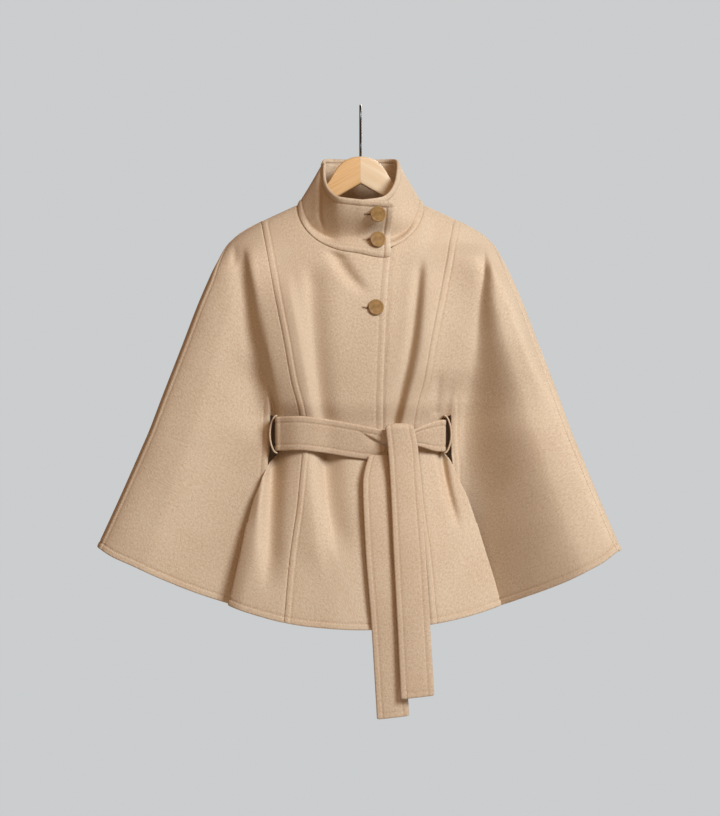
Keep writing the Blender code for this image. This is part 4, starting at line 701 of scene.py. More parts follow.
print("neckline: front", FRONT_NECK_DROP / MM, "mm deep, back", BACK_NECK_DROP / MM, "mm")

# %% [markdown]
# ## Surfaces of the panels
# Each panel is a surface of two shares: c across it and v down it. The centre fronts run from their front
# edge to the princess seam. A side front has three zones: the part beside the seam, the bend under the folded
# edge, and the wing. The back runs from one overarm seam to the other.

# %% Surface of a centre front
COLLAR_END = -0.020   # x of the under front's free edge and of the collar's under end
LAP_TOP_Z = -0.230
UNDER_TOP_Z = -0.224
LAP_LOW_Z = -0.770


def neck_angles(lap):
    """Angles of the neckline's front end and of its shoulder end."""
    if lap > 0:
        end = EDGE["x"](LAP_TOP_Z) / SECTION["half_width"](LAP_TOP_Z)
    else:
        end = COLLAR_END / SECTION["half_width"](UNDER_TOP_Z)
    return math.asin(end), -lap * math.pi / 2


def centre_front(lap):
    def neck(c):
        start, end = neck_angles(lap)
        angle = start + (end - start) * c
        z = front_neck_level(angle, lap)
        return SECTION["half_width"](z) * np.sin(angle), z

    def edge(v):
        x, top = neck(np.zeros_like(v))
        low = HEM["front"](EDGE["x"](LAP_LOW_Z) if lap > 0 else COLLAR_END)
        z = top + (low - top) * v
        return (EDGE["x"](z) if lap > 0 else np.full_like(z, COLLAR_END)), z

    def seam(v):
        _, top = neck(np.ones_like(v))
        low = hem_level(lambda z: -lap * LINE["princess"](z), "front")
        z = top + (low - top) * v
        return -lap * np.minimum(LINE["princess"](z), SECTION["half_width"](z)), z

    def surface(c, v):
        edge_low, seam_low = edge(np.ones_like(v))[0], seam(np.ones_like(v))[0]
        hem_x = edge_low + (seam_low - edge_low) * c
        hem = hem_x, HEM["front"](hem_x)
        ends = neck(0 * c), neck(0 * c + 1), edge(0 * v + 1), seam(0 * v + 1)
        borders = zip(neck(c), hem, edge(v), seam(v), *ends)
        x, z = (
            (1 - v) * top + v * low + (1 - c) * near + c * far
            - (1 - v) * ((1 - c) * a + c * b) - v * ((1 - c) * d + c * e)
            for top, low, near, far, a, b, d, e in borders
        )
        return np.stack([x, front_y(x, z, cosine_at(x, z), "front", lap), z], -1)

    return surface


print("the fronts lap by", round(float(EDGE["x"](LAP_LOW_Z)) - COLLAR_END, 4), "m at the hem")

# %% Surfaces of the side fronts and the back
ZONE_ENDS = (0.30, 0.55)   # shares across a side front: its folded edge, and the start of its wing
ROW_ENDS = (0.40, 0.68)    # shares down it: the two ends of the arm slit
SIDE_TOP = -0.1745
SIDE_GRADE = 1.3           # rows lie closer toward the shoulder
SLIT_STEP = 0.0065         # the slit's front side starts that much lower than its wing side
SLIT_LOW = -0.620
OVERARM_INSET = 0.0048
OVERARM_FADE = (-0.195, -0.270)
LEFT_FLAP_WIDER = 0.012
LEFT_FLAP_FADE = (-0.560, -0.735)
EDGE_HOLD = 0.995          # near the shoulder each line stays inside this share of the half width
WING_HOLD = 0.998
PRINCESS_HOLD = 0.99
STEEPEST = 2.0
PLEAT = 0.012              # the bend tucks in where the belt goes through the slit
LEFT_PLEAT_SHARE = 0.15
PLEAT_FROM = -0.400
PLEAT_TO = -0.455
SWING_BEHIND = 0.75        # cosine up to which the back follows the left wing forward


def overarm_angle(z):
    """Angle of the overarm seam: on the ridge at the shoulder, a little in front of it below."""
    below = np.arcsin(1 - OVERARM_INSET / SECTION["half_width"](z))
    return np.pi / 2 + (below - np.pi / 2) * smooth_step(z, *OVERARM_FADE)


def side_section(c, z, side, with_depth=True):
    """Point of a side front at level z: front part, bend under the folded edge, then the wing."""
    width = SECTION["half_width"](z)
    wider = LEFT_FLAP_WIDER * smooth_step(z, *LEFT_FLAP_FADE) if side > 0 else 0.0
    edge = np.minimum(LINE["front_edge"](z) + wider, width * EDGE_HOLD)
    wing = np.minimum(LINE["wing_edge"](z), width * WING_HOLD)
    princess = np.minimum(LINE["princess"](z), width * PRINCESS_HOLD)
    reach = LINE["bend"](z)
    t = (c - ZONE_ENDS[0]) / (ZONE_ENDS[1] - ZONE_ENDS[0])
    weights = ((1 - t) ** 3, 3 * t * (1 - t) ** 2, 3 * t * t * (1 - t), t ** 3)
    front_u = princess + (edge - princess) * c / ZONE_ENDS[0]
    bend_u = sum(w * p for w, p in zip(weights, (edge, edge + reach, wing - reach, wing)))
    start = np.arcsin(np.clip(wing / width, -1, 1))
    angle = start + (overarm_angle(z) - start) * (c - ZONE_ENDS[1]) / (1 - ZONE_ENDS[1])
    wing_u = width * np.sin(angle)
    u = np.where(c < ZONE_ENDS[0], front_u, np.where(c <= ZONE_ENDS[1], bend_u, wing_u))
    if not with_depth:
        return side * u

    def on(part, at):
        return front_y(side * at, z, cosine_at(at, z), part)

    tiny = 1e-4
    front_depth = on("front", np.minimum(front_u, width))
    a = on("front", edge)
    d = on("wing", wing)
    a_slope = np.clip((a - on("front", edge - tiny)) / tiny, -STEEPEST, STEEPEST)
    d_slope = np.clip((on("wing", wing + tiny) - d) / tiny, -STEEPEST, STEEPEST)
    bend_depth = sum(w * p for w, p in zip(weights, (a, a + reach * a_slope, d - reach * d_slope, d)))
    pleat = PLEAT * smooth_step(z, PLEAT_FROM, PLEAT_TO) * smooth_step(z, SLIT_LOW, SLIT_TOP)
    share = 1.0 if side < 0 else LEFT_PLEAT_SHARE
    bend_depth = bend_depth + pleat * share * np.sin(np.pi * np.clip(t, 0, 1)) ** 2
    wing_depth = front_y(side * wing_u, z, np.cos(angle), "wing")
    y = np.where(c < ZONE_ENDS[0], front_depth, np.where(c <= ZONE_ENDS[1], bend_depth, wing_depth))
    return swing_pull(side * u, z, cosine_at(u, z)), y


def side_front(side):
    def surface(c, v):
        inner = smooth_step(c, ZONE_ENDS[1], ZONE_ENDS[0])
        slit_top = SLIT_TOP - SLIT_STEP * inner
        low = hem_level(lambda z: side_section(c, z, side, False), "front")
        above = v / ROW_ENDS[0]
        first = SIDE_TOP + (slit_top - SIDE_TOP) * np.sign(above) * np.abs(above) ** SIDE_GRADE
        second = slit_top + (SLIT_LOW - slit_top) * (v - ROW_ENDS[0]) / (ROW_ENDS[1] - ROW_ENDS[0])
        third = SLIT_LOW + (low - SLIT_LOW) * (v - ROW_ENDS[1]) / (1 - ROW_ENDS[1])
        z = np.where(v < ROW_ENDS[0], first, np.where(v < ROW_ENDS[1], second, third))
        x, y = side_section(c, z, side)
        return np.stack([x, y, z], -1)

    return surface


def back_panel(c, v):
    def angle_of(z):
        return (2 * c - 1) * (np.pi - overarm_angle(z))

    top = back_neck_level(np.clip((2 * c - 1), -1, 1) * np.pi / 2)
    low = hem_level(lambda z: SECTION["half_width"](z) * np.sin(angle_of(z)), "back")
    z = top + (low - top) * v
    angle = angle_of(z)
    x = SECTION["half_width"](z) * np.sin(angle)
    cosine = np.cos(angle)
    behind = SECTION["back_depth"](z) * cosine + fold_sum(x, z, BACK_FOLDS) * np.maximum(cosine, 0)
    before = SECTION["front_depth"](z) * edge_round(cosine, z)
    edge = left_swing(np.where(cosine > 0, SECTION["half_width"](z), x), z)
    swing = edge * smooth_step(cosine, SWING_BEHIND, 0.0) * (x > 0)
    return np.stack([swing_pull(x, z, cosine), np.where(cosine > 0, behind, before) - swing, z], -1)


print("arm slits", round((SLIT_TOP - SLIT_LOW) / MM), "mm long")

# %% [markdown]
# ## From a surface to a cloth shell
# A grid of points on the surface is the cloth's outside. The inside lies one thickness behind, and a
# half-round rim joins the two along every border, so an edge looks turned and soft. Two rims that meet along
# a seam leave the narrow ditch that a pressed seam shows. Columns and rows are closer near the borders, where
# the stitching is.

# %% Grids and lines
SEAM_INSET = 0.7 * MM
LEAST_ROOM = 0.2     # share of a short grid line that an inset leaves
MOST_INSET = 0.4


def spaced(marks, steps):
    """Shares from the first mark to the last, with that many even steps between each two."""
    parts = [np.linspace(start, end, n + 1)[:-1] for start, end, n in zip(marks, marks[1:], steps)]
    return np.append(np.concatenate(parts), marks[-1])


def graded(count, band, fine):
    """Shares from 0 to 1, with fine steps inside a band at both ends."""
    return spaced((0, band, 1 - band, 1), (fine, count - 2 * fine, fine))


def unit(vectors):
    return vectors / np.maximum(np.linalg.norm(vectors, axis=-1, keepdims=True), 1e-12)


def run_along(points, axis):
    """Length along the grid lines of one axis, from their start."""
    steps = np.linalg.norm(np.diff(points, axis=axis), axis=-1)
    zero = np.zeros_like(np.take(steps, [0], axis=axis))
    return np.concatenate([zero, np.cumsum(steps, axis=axis)], axis=axis)


def line_at(places, marks, line):
    """Points at places along a line whose own points are at the marks."""
    return np.stack([np.interp(places, marks, line[:, k]) for k in range(3)], -1)


def inset(points, before, after, axis):
    """Slides the points of each grid line along it, so that it starts and ends that far inside."""
    lines = points if axis == 1 else np.swapaxes(points, 0, 1)
    moved = np.empty_like(lines)
    for i, line in enumerate(lines):
        run = run_along(line, 0)
        room = max(run[-1], 1e-9)
        kept_room = max(room - before - after, room * LEAST_ROOM)
        moved[i] = line_at(min(before, room * MOST_INSET) + run * kept_room / room, run, line)
    return moved if axis == 1 else np.swapaxes(moved, 0, 1)


def grid_normals(points):
    """Unit normals of a grid that face away from the body's middle line, and whether they were turned."""
    normal = unit(np.cross(np.gradient(points, axis=1), np.gradient(points, axis=0)))
    turned = np.sum(normal[..., :2] * points[..., :2]) < 0
    return (-normal if turned else normal), turned


def nearest(points, line):
    """Distance of each grid point from a border line."""
    fine = np.linspace(0, len(line) - 1, len(line) * 4)
    tree = kdtree.KDTree(len(fine))
    for i, point in enumerate(line_at(fine, np.arange(len(line)), line)):
        tree.insert(point, i)
    tree.balance()
    return np.array([tree.find(p)[2] for p in points.reshape(-1, 3)]).reshape(points.shape[:2])


print("seams set in", SEAM_INSET / MM, "mm from each panel's border")

# %% Borders and shells
RIM_STEPS = 4


def border_loops(kept):
    """Loops of grid places round the kept cells, in the order of the cells' own corners."""
    rows, columns = kept.shape
    padded = np.pad(kept, 1)
    following = {}
    sides = (
        ((-1, 0), (0, 0), (0, 1)),
        ((0, 1), (0, 1), (1, 1)),
        ((1, 0), (1, 1), (1, 0)),
        ((0, -1), (1, 0), (0, 0)),
    )
    for (dr, dk), start, end in sides:
        beside = padded[1 + dr:1 + dr + rows, 1 + dk:1 + dk + columns]
        for r, k in np.argwhere(kept & ~beside):
            following[(r + start[0], k + start[1])] = (r + end[0], k + end[1])
    loops = []
    while following:
        first = next(iter(following))
        loop = [first]
        step = following.pop(first)
        while step != first:
            loop.append(step)
            step = following.pop(step)
        loops.append(loop)
    return loops


def new_object(name, points, faces, looks, uv=None, uv_name="cloth"):
    mesh = bpy.data.meshes.new(name)
    mesh.from_pydata(points.tolist(), [], faces)
    if uv is not None:
        layer = mesh.uv_layers.new(name=uv_name)
        corner = np.empty(len(mesh.loops), np.int32)
        mesh.loops.foreach_get("vertex_index", corner)
        layer.uv.foreach_set("vector", uv[corner].astype(np.float32).ravel())
    mesh.shade_smooth()
    mesh.materials.append(looks)
    made = bpy.data.objects.new(name, mesh)
    bpy.context.collection.objects.link(made)
    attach(made, "root")
    return made


def shell(name, outer, thickness, looks, kept=None, uv_turn=1, inside_shade=0.0):
    """A closed cloth wall with half-round rims. Its last argument is 1 where its inside is darkened with
    painted shade.

    Returns the object and the normals of its outside.
    """
    rows, columns = outer.shape[:2]
    kept = np.ones((rows - 1, columns - 1), bool) if kept is None else kept
    normal, turned = grid_normals(outer)
    thickness = np.broadcast_to(thickness, (rows, columns))
    inner = outer - normal * thickness[..., None]
    count = rows * columns
    points = [outer.reshape(-1, 3), inner.reshape(-1, 3)]
    place = np.arange(count).reshape(rows, columns)
    corners = np.stack([place[:-1, :-1], place[:-1, 1:], place[1:, 1:], place[1:, :-1]], -1)[kept]
    outside = corners[:, ::-1] if turned else corners
    faces = outside.tolist() + (outside[:, ::-1] + count).tolist()
    flat_u = run_along(outer, 1) * uv_turn
    flat_v = -run_along(outer, 0)
    uv = [np.stack([flat_u, flat_v], -1).reshape(-1, 2)] * 2
    total = 2 * count
    for loop in border_loops(kept):
        r, k = np.array(loop).T
        edge = outer[r, k]
        ahead = np.roll(edge, -1, axis=0) - np.roll(edge, 1, axis=0)
        away = unit(np.cross(ahead, -normal[r, k] if turned else normal[r, k]))
        half = thickness[r, k, None] / 2
        ring = [place[r, k]]
        for turn in np.linspace(0, np.pi, RIM_STEPS + 1)[1:-1]:
            points.append(edge - normal[r, k] * half * (1 - np.cos(turn)) + away * half * np.sin(turn))
            uv.append(np.stack([flat_u[r, k], flat_v[r, k]], -1))
            ring.append(np.arange(total, total + len(r)))
            total += len(r)
        ring.append(place[r, k] + count)
        for near, far in zip(ring, ring[1:]):
            strip = np.stack([np.roll(near, -1), near, far, np.roll(far, -1)], -1)
            faces += (strip[:, ::-1] if turned else strip).tolist()
    used = np.zeros(total, bool)
    used[np.array(faces).ravel()] = True
    index = np.cumsum(used) - 1
    faces = index[np.array(faces)].tolist()
    made = new_object(name, np.concatenate(points)[used], faces, looks, np.concatenate(uv)[used])
    inside_shade_marks = np.zeros(total)
    inside_shade_marks[count:2 * count] = inside_shade
    layer = made.data.attributes.new("inside_shade", "FLOAT", "POINT")
    layer.data.foreach_set("value", inside_shade_marks[used].astype(np.float32))
    return made, normal


print("shell: rims of", RIM_STEPS, "steps")

# %% [markdown]
# ## Stitches and raised seams
# On the real cape the seam allowances are pressed to one side and topstitched, so a band beside the seam
# stands up and the stitches lie in a shallow groove. The same groove runs inside every free edge. Each stitch
# is a small rounded length of thread whose ends dive into the cloth.

# %% Relief beside borders, and stitches
STITCH_PITCH = 3.8 * MM
STITCH_LENGTH = 3.1 * MM
STITCH_WIDTH = 0.65 * MM
STITCH_FLATNESS = 0.38   # half its height, as a share of its width
GROOVE_WIDTH = 1.5 * MM
DITCH_WIDTH = 1.3 * MM
BAND_FADE = (1.5 * MM, -1.0 * MM)


def groove(away, depth):
    return depth * np.exp(-((away / GROOVE_WIDTH) ** 2))


def ditch(away, depth):
    return depth * np.exp(-((away / DITCH_WIDTH) ** 2))


def edge_relief(away, width, band, cut, seam):
    """Height of the cloth beside a border: a raised band, the groove of its stitching, the seam's ditch."""
    raised = band * smooth_step(away, width + BAND_FADE[0], width + BAND_FADE[1])
    return raised - groove(away - width, cut) - ditch(away, seam)


def trace(points, normal, away, width, axis, last, free=None):
    """The line on the cloth that lies width from a border, read along one axis, where free holds."""
    free = np.ones(away.shape, bool) if free is None else free
    if axis == 0:
        points, normal, away, free = (np.swapaxes(a, 0, 1) for a in (points, normal, away, free))
    if last:
        points, normal, away, free = (a[:, ::-1] for a in (points, normal, away, free))
    reached = np.argmax(away >= width, axis=1)
    found = np.flatnonzero((reached > 0) & free[np.arange(len(reached)), reached])
    k = reached[found]
    low = away[found, k - 1]
    share = ((width - low) / np.maximum(away[found, k] - low, 1e-9))[:, None]
    spot = points[found, k - 1] * (1 - share) + points[found, k] * share
    lift = normal[found, k - 1] * (1 - share) + normal[found, k] * share
    return spot, lift


RING_COLUMNS = ("along", "size", "sink")
STITCH_RINGS = [
    (-0.50, 0.45, -0.40), (-0.28, 0.95, 0.00), (0.0, 1.0, 0.12), (0.28, 0.95, 0.00), (0.50, 0.45, -0.40),
]
STITCH_SIDES = 6


def ring_quads(count, sides):
    """Faces between rings of points, each ring stacked on the one before."""
    k = np.arange(sides)
    near = np.arange(count - 1)[:, None] * sides
    ahead = (k + 1) % sides
    return np.stack([near + k, near + ahead, near + sides + ahead, near + sides + k], -1).reshape(-1, 4)


def stitch_piece(name, lines, pitch=STITCH_PITCH, length=STITCH_LENGTH,
                 width=STITCH_WIDTH, crosswise=False):
    """One object with a stitch at every pitch along each line of points and normals."""
    along = column(STITCH_RINGS, RING_COLUMNS, "along")[:, None]
    size = column(STITCH_RINGS, RING_COLUMNS, "size")[:, None]
    sink = column(STITCH_RINGS, RING_COLUMNS, "sink")[:, None] * MM
    turn = np.linspace(0, 2 * np.pi, STITCH_SIDES + 1)[:-1][None]
    points = []
    for spots, lifts in lines:
        run = run_along(spots, 0)
        count = max(int(run[-1] / pitch), 1)
        middle = (np.arange(count) + 0.5) * run[-1] / count
        way = unit(line_at(middle + pitch / 3, run, spots) - line_at(middle - pitch / 3, run, spots))
        up = unit(line_at(middle, run, lifts))
        aside = np.cross(way, up)
        if crosswise:
            way, aside = aside, -way
        spot = line_at(middle, run, spots)[:, None, None]
        points.append(
            spot + way[:, None, None] * (along * length)[None, :, :, None]
            + up[:, None, None] * (sink + size * width * STITCH_FLATNESS * np.sin(turn))[None, :, :, None]
            + aside[:, None, None] * (size * width * 0.5 * np.cos(turn))[None, :, :, None]
        )
    points = np.concatenate(points)
    rings, sides = points.shape[1:3]
    start = np.arange(len(points))[:, None, None] * rings * sides
    faces = (ring_quads(rings, sides)[None] + start).reshape(-1, 4).tolist()
    k = np.arange(sides)
    caps = np.stack([k[::-1], (rings - 1) * sides + k])
    faces += (caps[None] + start).reshape(-1, sides).tolist()
    made = new_object(name, points.reshape(-1, 3), faces, thread)
    return made, len(points)


print("stitches:", STITCH_LENGTH / MM, "mm long at", STITCH_PITCH / MM, "mm")

# %% [markdown]
# ## Centre fronts
# The upper front laps over the under one. Its free edge is topstitched 7 mm in, and presses a narrow groove
# into the under front beside it. Along the princess seam the allowance is pressed toward the middle, so the
# raised band is on this panel. The hem is turned up and topstitched, which makes the edge thicker.

# %% Build the centre fronts
CLOTH = 2.4 * MM
HEM_CLOTH = 3.6 * MM
HEM_FADE = (22 * MM, 6 * MM)
EDGE_STITCH = 7.2 * MM
SEAM_STITCH = 7.8 * MM
FRONT_EDGE_RELIEF = (EDGE_STITCH, 0.6 * MM, 1.1 * MM, 0.0)
HEM_RELIEF = (EDGE_STITCH, 0.5 * MM, 1.0 * MM, 0.0)
SEAM_RELIEF = (SEAM_STITCH, 0.9 * MM, 0.8 * MM, 0.5 * MM)
NECK_DITCH = 0.7 * MM
LAP_PRESS = 2.2 * MM
LAP_PRESS_WIDTH = 2.0 * MM
FRONT_COLUMNS = graded(96, 0.10, 14)
FRONT_ROWS = spaced((0, 0.06, 0.965, 1), (18, 159, 18))
PANELS = {}


def hem_thickness(away):
    return CLOTH + (HEM_CLOTH - CLOTH) * smooth_step(away, *HEM_FADE)


for name, lap in (("front_right", 1), ("front_left", -1)):
    c, v = np.meshgrid(FRONT_COLUMNS, FRONT_ROWS)
    base = centre_front(lap)(c, v)
    base = inset(base, SEAM_INSET, SEAM_INSET, 1)
    base = inset(base, SEAM_INSET, 0.0, 0)
    normal, _ = grid_normals(base)
    from_edge = nearest(base, base[:, 0])
    from_hem = nearest(base, base[-1])
    seamed = base[:, -1, 2] < SIDE_TOP + 1 * MM
    from_seam = nearest(base, base[seamed, -1])
    from_neck = nearest(base, base[0])
    lift = edge_relief(from_edge, *FRONT_EDGE_RELIEF)
    lift = lift + edge_relief(from_hem, *HEM_RELIEF)
    lift = lift + edge_relief(from_seam, *SEAM_RELIEF)
    lift = lift - ditch(from_neck, NECK_DITCH)
    if lap < 0:
        beside_lap = base[..., 0] - EDGE["x"](base[..., 2]) - CLOTH / 2
        lift = lift - LAP_PRESS * np.exp(-((beside_lap / LAP_PRESS_WIDTH) ** 2))
    outer = base + normal * lift[..., None]
    thickness = hem_thickness(np.minimum(from_hem, from_edge))
    made, normal = shell("cloth_" + name, outer, thickness, camel_wool, uv_turn=-lap, inside_shade=1.0)
    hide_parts(name)
    lines = [trace(outer, normal, from_hem, EDGE_STITCH, 0, True, from_edge > EDGE_STITCH)]
    lines.append(trace(outer[seamed], normal[seamed], from_seam[seamed], SEAM_STITCH, 1, True))
    if lap > 0:
        lines.append(trace(outer, normal, from_edge, EDGE_STITCH, 1, False, from_hem > EDGE_STITCH))
    _, count = stitch_piece("stitches_" + name, lines)
    PANELS[name] = (outer, normal, made)
    print(name, len(made.data.polygons), "faces,", count, "stitches")

# %% [markdown]
# ## Side fronts and arm slits
# Each side front is one piece of cloth: from the princess seam it bends under the folded edge and goes on as
# the wing to the overarm seam. Between belt and hip the bend is left open: that is the arm slit. Most cells
# of the bend are left out there, and the shell closes the border with the same rim. The cells that stay are
# the turned edge of the wing.

# %% Build the side fronts
BESIDE_STEPS = 40
BEND_STEPS = 30
WING_STEPS = 84
SLIT_OPEN = 24       # steps of the bend that are left out at the slit
SLIT_LEAD = 3        # rows by which the slit's stitching starts above it
SIDE_TIP = -0.011    # the panel's point reaches up under the shoulder seam by this share of its length
SLIT_STITCH = 6.0 * MM
OVERARM_STITCH = 6.5 * MM
SLIT_RELIEF = (SLIT_STITCH, 0.4 * MM, 0.9 * MM, 0.0)
OVERARM_RELIEF = (OVERARM_STITCH, 0.8 * MM, 0.8 * MM, 0.4 * MM)
PRINCESS_DITCH = 0.6 * MM
side_columns = np.concatenate([
    spaced((0, *ZONE_ENDS), (BESIDE_STEPS, BEND_STEPS))[:-1],
    ZONE_ENDS[1] + (1 - ZONE_ENDS[1]) * graded(WING_STEPS, 0.07, 12),
])
side_rows = spaced((SIDE_TIP, *ROW_ENDS, 0.965, 1), (91, 60, 52, 12))
slit_from = BESIDE_STEPS
slit_to = BESIDE_STEPS + BEND_STEPS
slit_top, slit_low = (np.searchsorted(side_rows, end - 1e-9) for end in ROW_ENDS)
slit_rows = slice(slit_top - SLIT_LEAD, slit_low)
wing = slice(slit_to, None)

for name, side in (("side_right", -1), ("side_left", 1)):
    c, v = np.meshgrid(side_columns, side_rows)
    base = side_front(side)(c, v)
    base = inset(base, SEAM_INSET, SEAM_INSET, 1)
    normal, _ = grid_normals(base)
    from_seam = nearest(base, base[:, 0])
    from_overarm = nearest(base, base[:, -1])
    from_hem = nearest(base, base[-1])
    from_slit = np.ones(base.shape[:2])
    from_slit[:, wing] = nearest(base[:, wing], base[slit_rows, slit_to])
    lift = edge_relief(from_hem, *HEM_RELIEF)
    lift = lift + edge_relief(from_overarm, *OVERARM_RELIEF)
    lift = lift + edge_relief(from_slit, *SLIT_RELIEF)
    lift = lift - ditch(from_seam, PRINCESS_DITCH)
    outer = base + normal * lift[..., None]
    kept = np.ones((len(side_rows) - 1, len(side_columns) - 1), bool)
    kept[slit_top:slit_low, slit_from:slit_from + SLIT_OPEN] = False
    thickness = hem_thickness(from_hem)
    made, normal = shell("cloth_" + name, outer, thickness, camel_wool, kept, uv_turn=side, inside_shade=1.0)
    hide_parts(name)
    lines = [
        trace(outer, normal, from_hem, EDGE_STITCH, 0, True),
        trace(outer, normal, from_overarm, OVERARM_STITCH, 1, True),
        trace(outer[slit_rows, wing], normal[slit_rows, wing], from_slit[slit_rows, wing],
              SLIT_STITCH, 1, False),
    ]
    _, count = stitch_piece("stitches_" + name, lines)
    PANELS[name] = (outer, normal, made)
    print(name, len(made.data.polygons), "faces,", count, "stitches")

# %% [markdown]
# ## Back
# The back is one wide panel from overarm seam to overarm seam. It hangs a little longer than the front, so a
# strip of its inside, darkened with painted shade, shows below the front hem. Its seams are pressed toward
# the side fronts, so here they show only as ditches.

# %% Build the back
OVERARM_DITCH = 0.4 * MM
BACK_COLUMNS = graded(150, 0.035, 14)
BACK_ROWS = spaced((0, 0.05, 0.97, 1), (12, 139, 14))
c, v = np.meshgrid(BACK_COLUMNS, BACK_ROWS)
base = inset(back_panel(c, v), SEAM_INSET, SEAM_INSET, 1)
base = inset(base, SEAM_INSET, 0.0, 0)
normal, _ = grid_normals(base)
from_hem = nearest(base, base[-1])
from_neck = nearest(base, base[0])
lift = edge_relief(from_hem, *HEM_RELIEF) - ditch(from_neck, NECK_DITCH)
for overarm in (base[:, 0], base[:, -1]):
    lift = lift - ditch(nearest(base, overarm), OVERARM_DITCH)
outer = base + normal * lift[..., None]
made, normal = shell("cloth_back", outer, hem_thickness(from_hem), camel_wool, inside_shade=1.0)
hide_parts("back")
_, count = stitch_piece("stitches_back", [trace(outer, normal, from_hem, EDGE_STITCH, 0, True)])
PANELS["back"] = (outer, normal, made)
print("back", len(made.data.polygons), "faces,", count, "stitches")

# %% [markdown]
# ## Stand collar
# The collar is a doubled band that stands on the neckline, leans in toward its rim and laps with the upper
# front. Its rim is rolled and topstitched, and at its foot the seam allowance makes a second raised band. It
# is heavy enough to stand, but bends: there is one soft upright crease on the right and a hollow across the
# front.

# %% Neckline and rim
RIM_COLUMNS = ("turn_deg", "x", "y", "z")
RIM = [
    (0.0, 0.0000, -0.0990, -0.1510),
    (30.0, 0.0330, -0.0890, -0.1450),
    (52.0, 0.0470, -0.0640, -0.1310),
    (75.0, 0.0545, -0.0270, -0.1080),
    (90.0, 0.0565, -0.0040, -0.0900),
    (105.0, 0.0560, 0.0150, -0.0795),
    (120.0, 0.0510, 0.0300, -0.0755),
    (145.0, 0.0345, 0.0450, -0.0745),
    (180.0, 0.0000, 0.0510, -0.0745),
]
RIM_LAP = (0.0470, -0.1000, -0.1540)
RIM_LIFT_SPAN = (-0.050, -0.020)
RIM_SINK_SPAN = (0.054, 0.030)
PAST_LAP = 1.2
RIM_LINE = lines_of(RIM, RIM_COLUMNS)
NECK_CENTRE_Y = -0.008
NECK_STEPS = 400


def neck_ring():
    """Neckline from the upper front corner, round by the right and the back, to the under end; with laps."""
    legs = (
        (1, np.linspace(*neck_angles(1), NECK_STEPS)),
        (0, np.linspace(-np.pi / 2, np.pi / 2, NECK_STEPS)[1:-1]),
        (-1, np.linspace(*neck_angles(-1), NECK_STEPS)[::-1]),
    )
    points = []
    for lap, angles in legs:
        z = front_neck_level(angles, lap) if lap else back_neck_level(angles)
        x = SECTION["half_width"](z) * np.sin(angles)
        if lap:
            y = front_y(x, z, np.cos(angles), "front", lap)
        else:
            y = SECTION["back_depth"](z) * np.cos(angles)
        points.append(np.stack([x, y, z], -1))
    return np.concatenate(points), np.concatenate([np.full(len(angles), lap) for lap, angles in legs])


def rim_ring(base, laps):
    """Top rim point above each neckline point."""
    turn = np.degrees(np.arctan2(base[:, 0], -(base[:, 1] - NECK_CENTRE_Y)))
    size = np.abs(turn)
    rim = np.stack([np.sign(turn) * RIM_LINE["x"](size), RIM_LINE["y"](size), RIM_LINE["z"](size)], -1)
    on_lap = ((laps > 0) & (turn > 0))[:, None]
    share = np.clip(turn / turn[0], 0, PAST_LAP)[:, None]
    middle = np.array([0.0, RIM[0][2], RIM[0][3]])
    rim = np.where(on_lap, middle + (np.array(RIM_LAP) - middle) * share, rim)
    rim[:, 1] -= np.where(laps > 0, LAP_LIFT * smooth_step(rim[:, 0], *RIM_LIFT_SPAN), 0)
    rim[:, 1] += np.where((laps < 0) & (turn < 90), LAP_SINK * smooth_step(rim[:, 0], *RIM_SINK_SPAN), 0)
    return rim


neck, neck_lap = neck_ring()
rim_points = rim_ring(neck, neck_lap)
neck_run = run_along(neck, 0)
print("neckline", round(neck_run[-1], 3), "m, rim", round(run_along(rim_points, 0)[-1], 3), "m")

# %% Build the collar
COLLAR_CLOTH = 2.8 * MM
COLLAR_COLUMNS = graded(240, 0.025, 14)
COLLAR_ROWS = np.linspace(0, 1, 57)
FOOT_STITCH = 8.2 * MM
RIM_STITCH = 6.5 * MM
FOOT_RELIEF = (FOOT_STITCH, 1.2 * MM, 0.9 * MM, 0.4 * MM)
RIM_RELIEF = (RIM_STITCH, 1.3 * MM, 1.1 * MM, 0.0)
COLLAR_EDGE_RELIEF = (EDGE_STITCH, 0.9 * MM, 1.2 * MM, 0.0)
ROLL = 1.8 * MM
ROLL_FADE = (RIM_STITCH, 0.4 * RIM_STITCH)
FRONT_HOLLOW = 17.0 * MM
SIDE_HOLLOW = 3.5 * MM
FRONT_FADE = (0.10, 0.75)       # from the side of the neck to its front
HOLLOW_Z = -0.2025
HOLLOW_ABOVE = 25.0 * MM
HOLLOW_BELOW = 10.0 * MM
HOLLOW_FOOT_FADE = (0.0, 0.12)
CREASE_TOP = (-0.0595, -0.110)
CREASE_LOW = (-0.0635, -0.190)
CREASE_DEPTH = 2.6 * MM
CREASE_WIDTH = 3.2 * MM
CREASE_BEHIND = 0.010
CREASE_FADE = (0.10, 0.40)
c, v = np.meshgrid(COLLAR_COLUMNS, COLLAR_ROWS)
foot, top = (line_at(c, neck_run / neck_run[-1], ring) for ring in (neck, rim_points))
base = foot + (top - foot) * v[..., None]
base = inset(base, SEAM_INSET, SEAM_INSET, 1)
base = inset(base, SEAM_INSET, SEAM_INSET, 0)
normal, _ = grid_normals(base)
x, y, z = np.moveaxis(base, -1, 0)
hollow = SIDE_HOLLOW + (FRONT_HOLLOW - SIDE_HOLLOW) * smooth_step(-y / np.hypot(x, y), *FRONT_FADE)
level = z - HOLLOW_Z
reach = np.where(level > 0, HOLLOW_ABOVE, HOLLOW_BELOW)
hollow = hollow * np.exp(-((level / reach) ** 2)) * smooth_step(v, *HOLLOW_FOOT_FADE)
crease_wide = CREASE_LOW[0] - CREASE_TOP[0]
crease_high = CREASE_LOW[1] - CREASE_TOP[1]
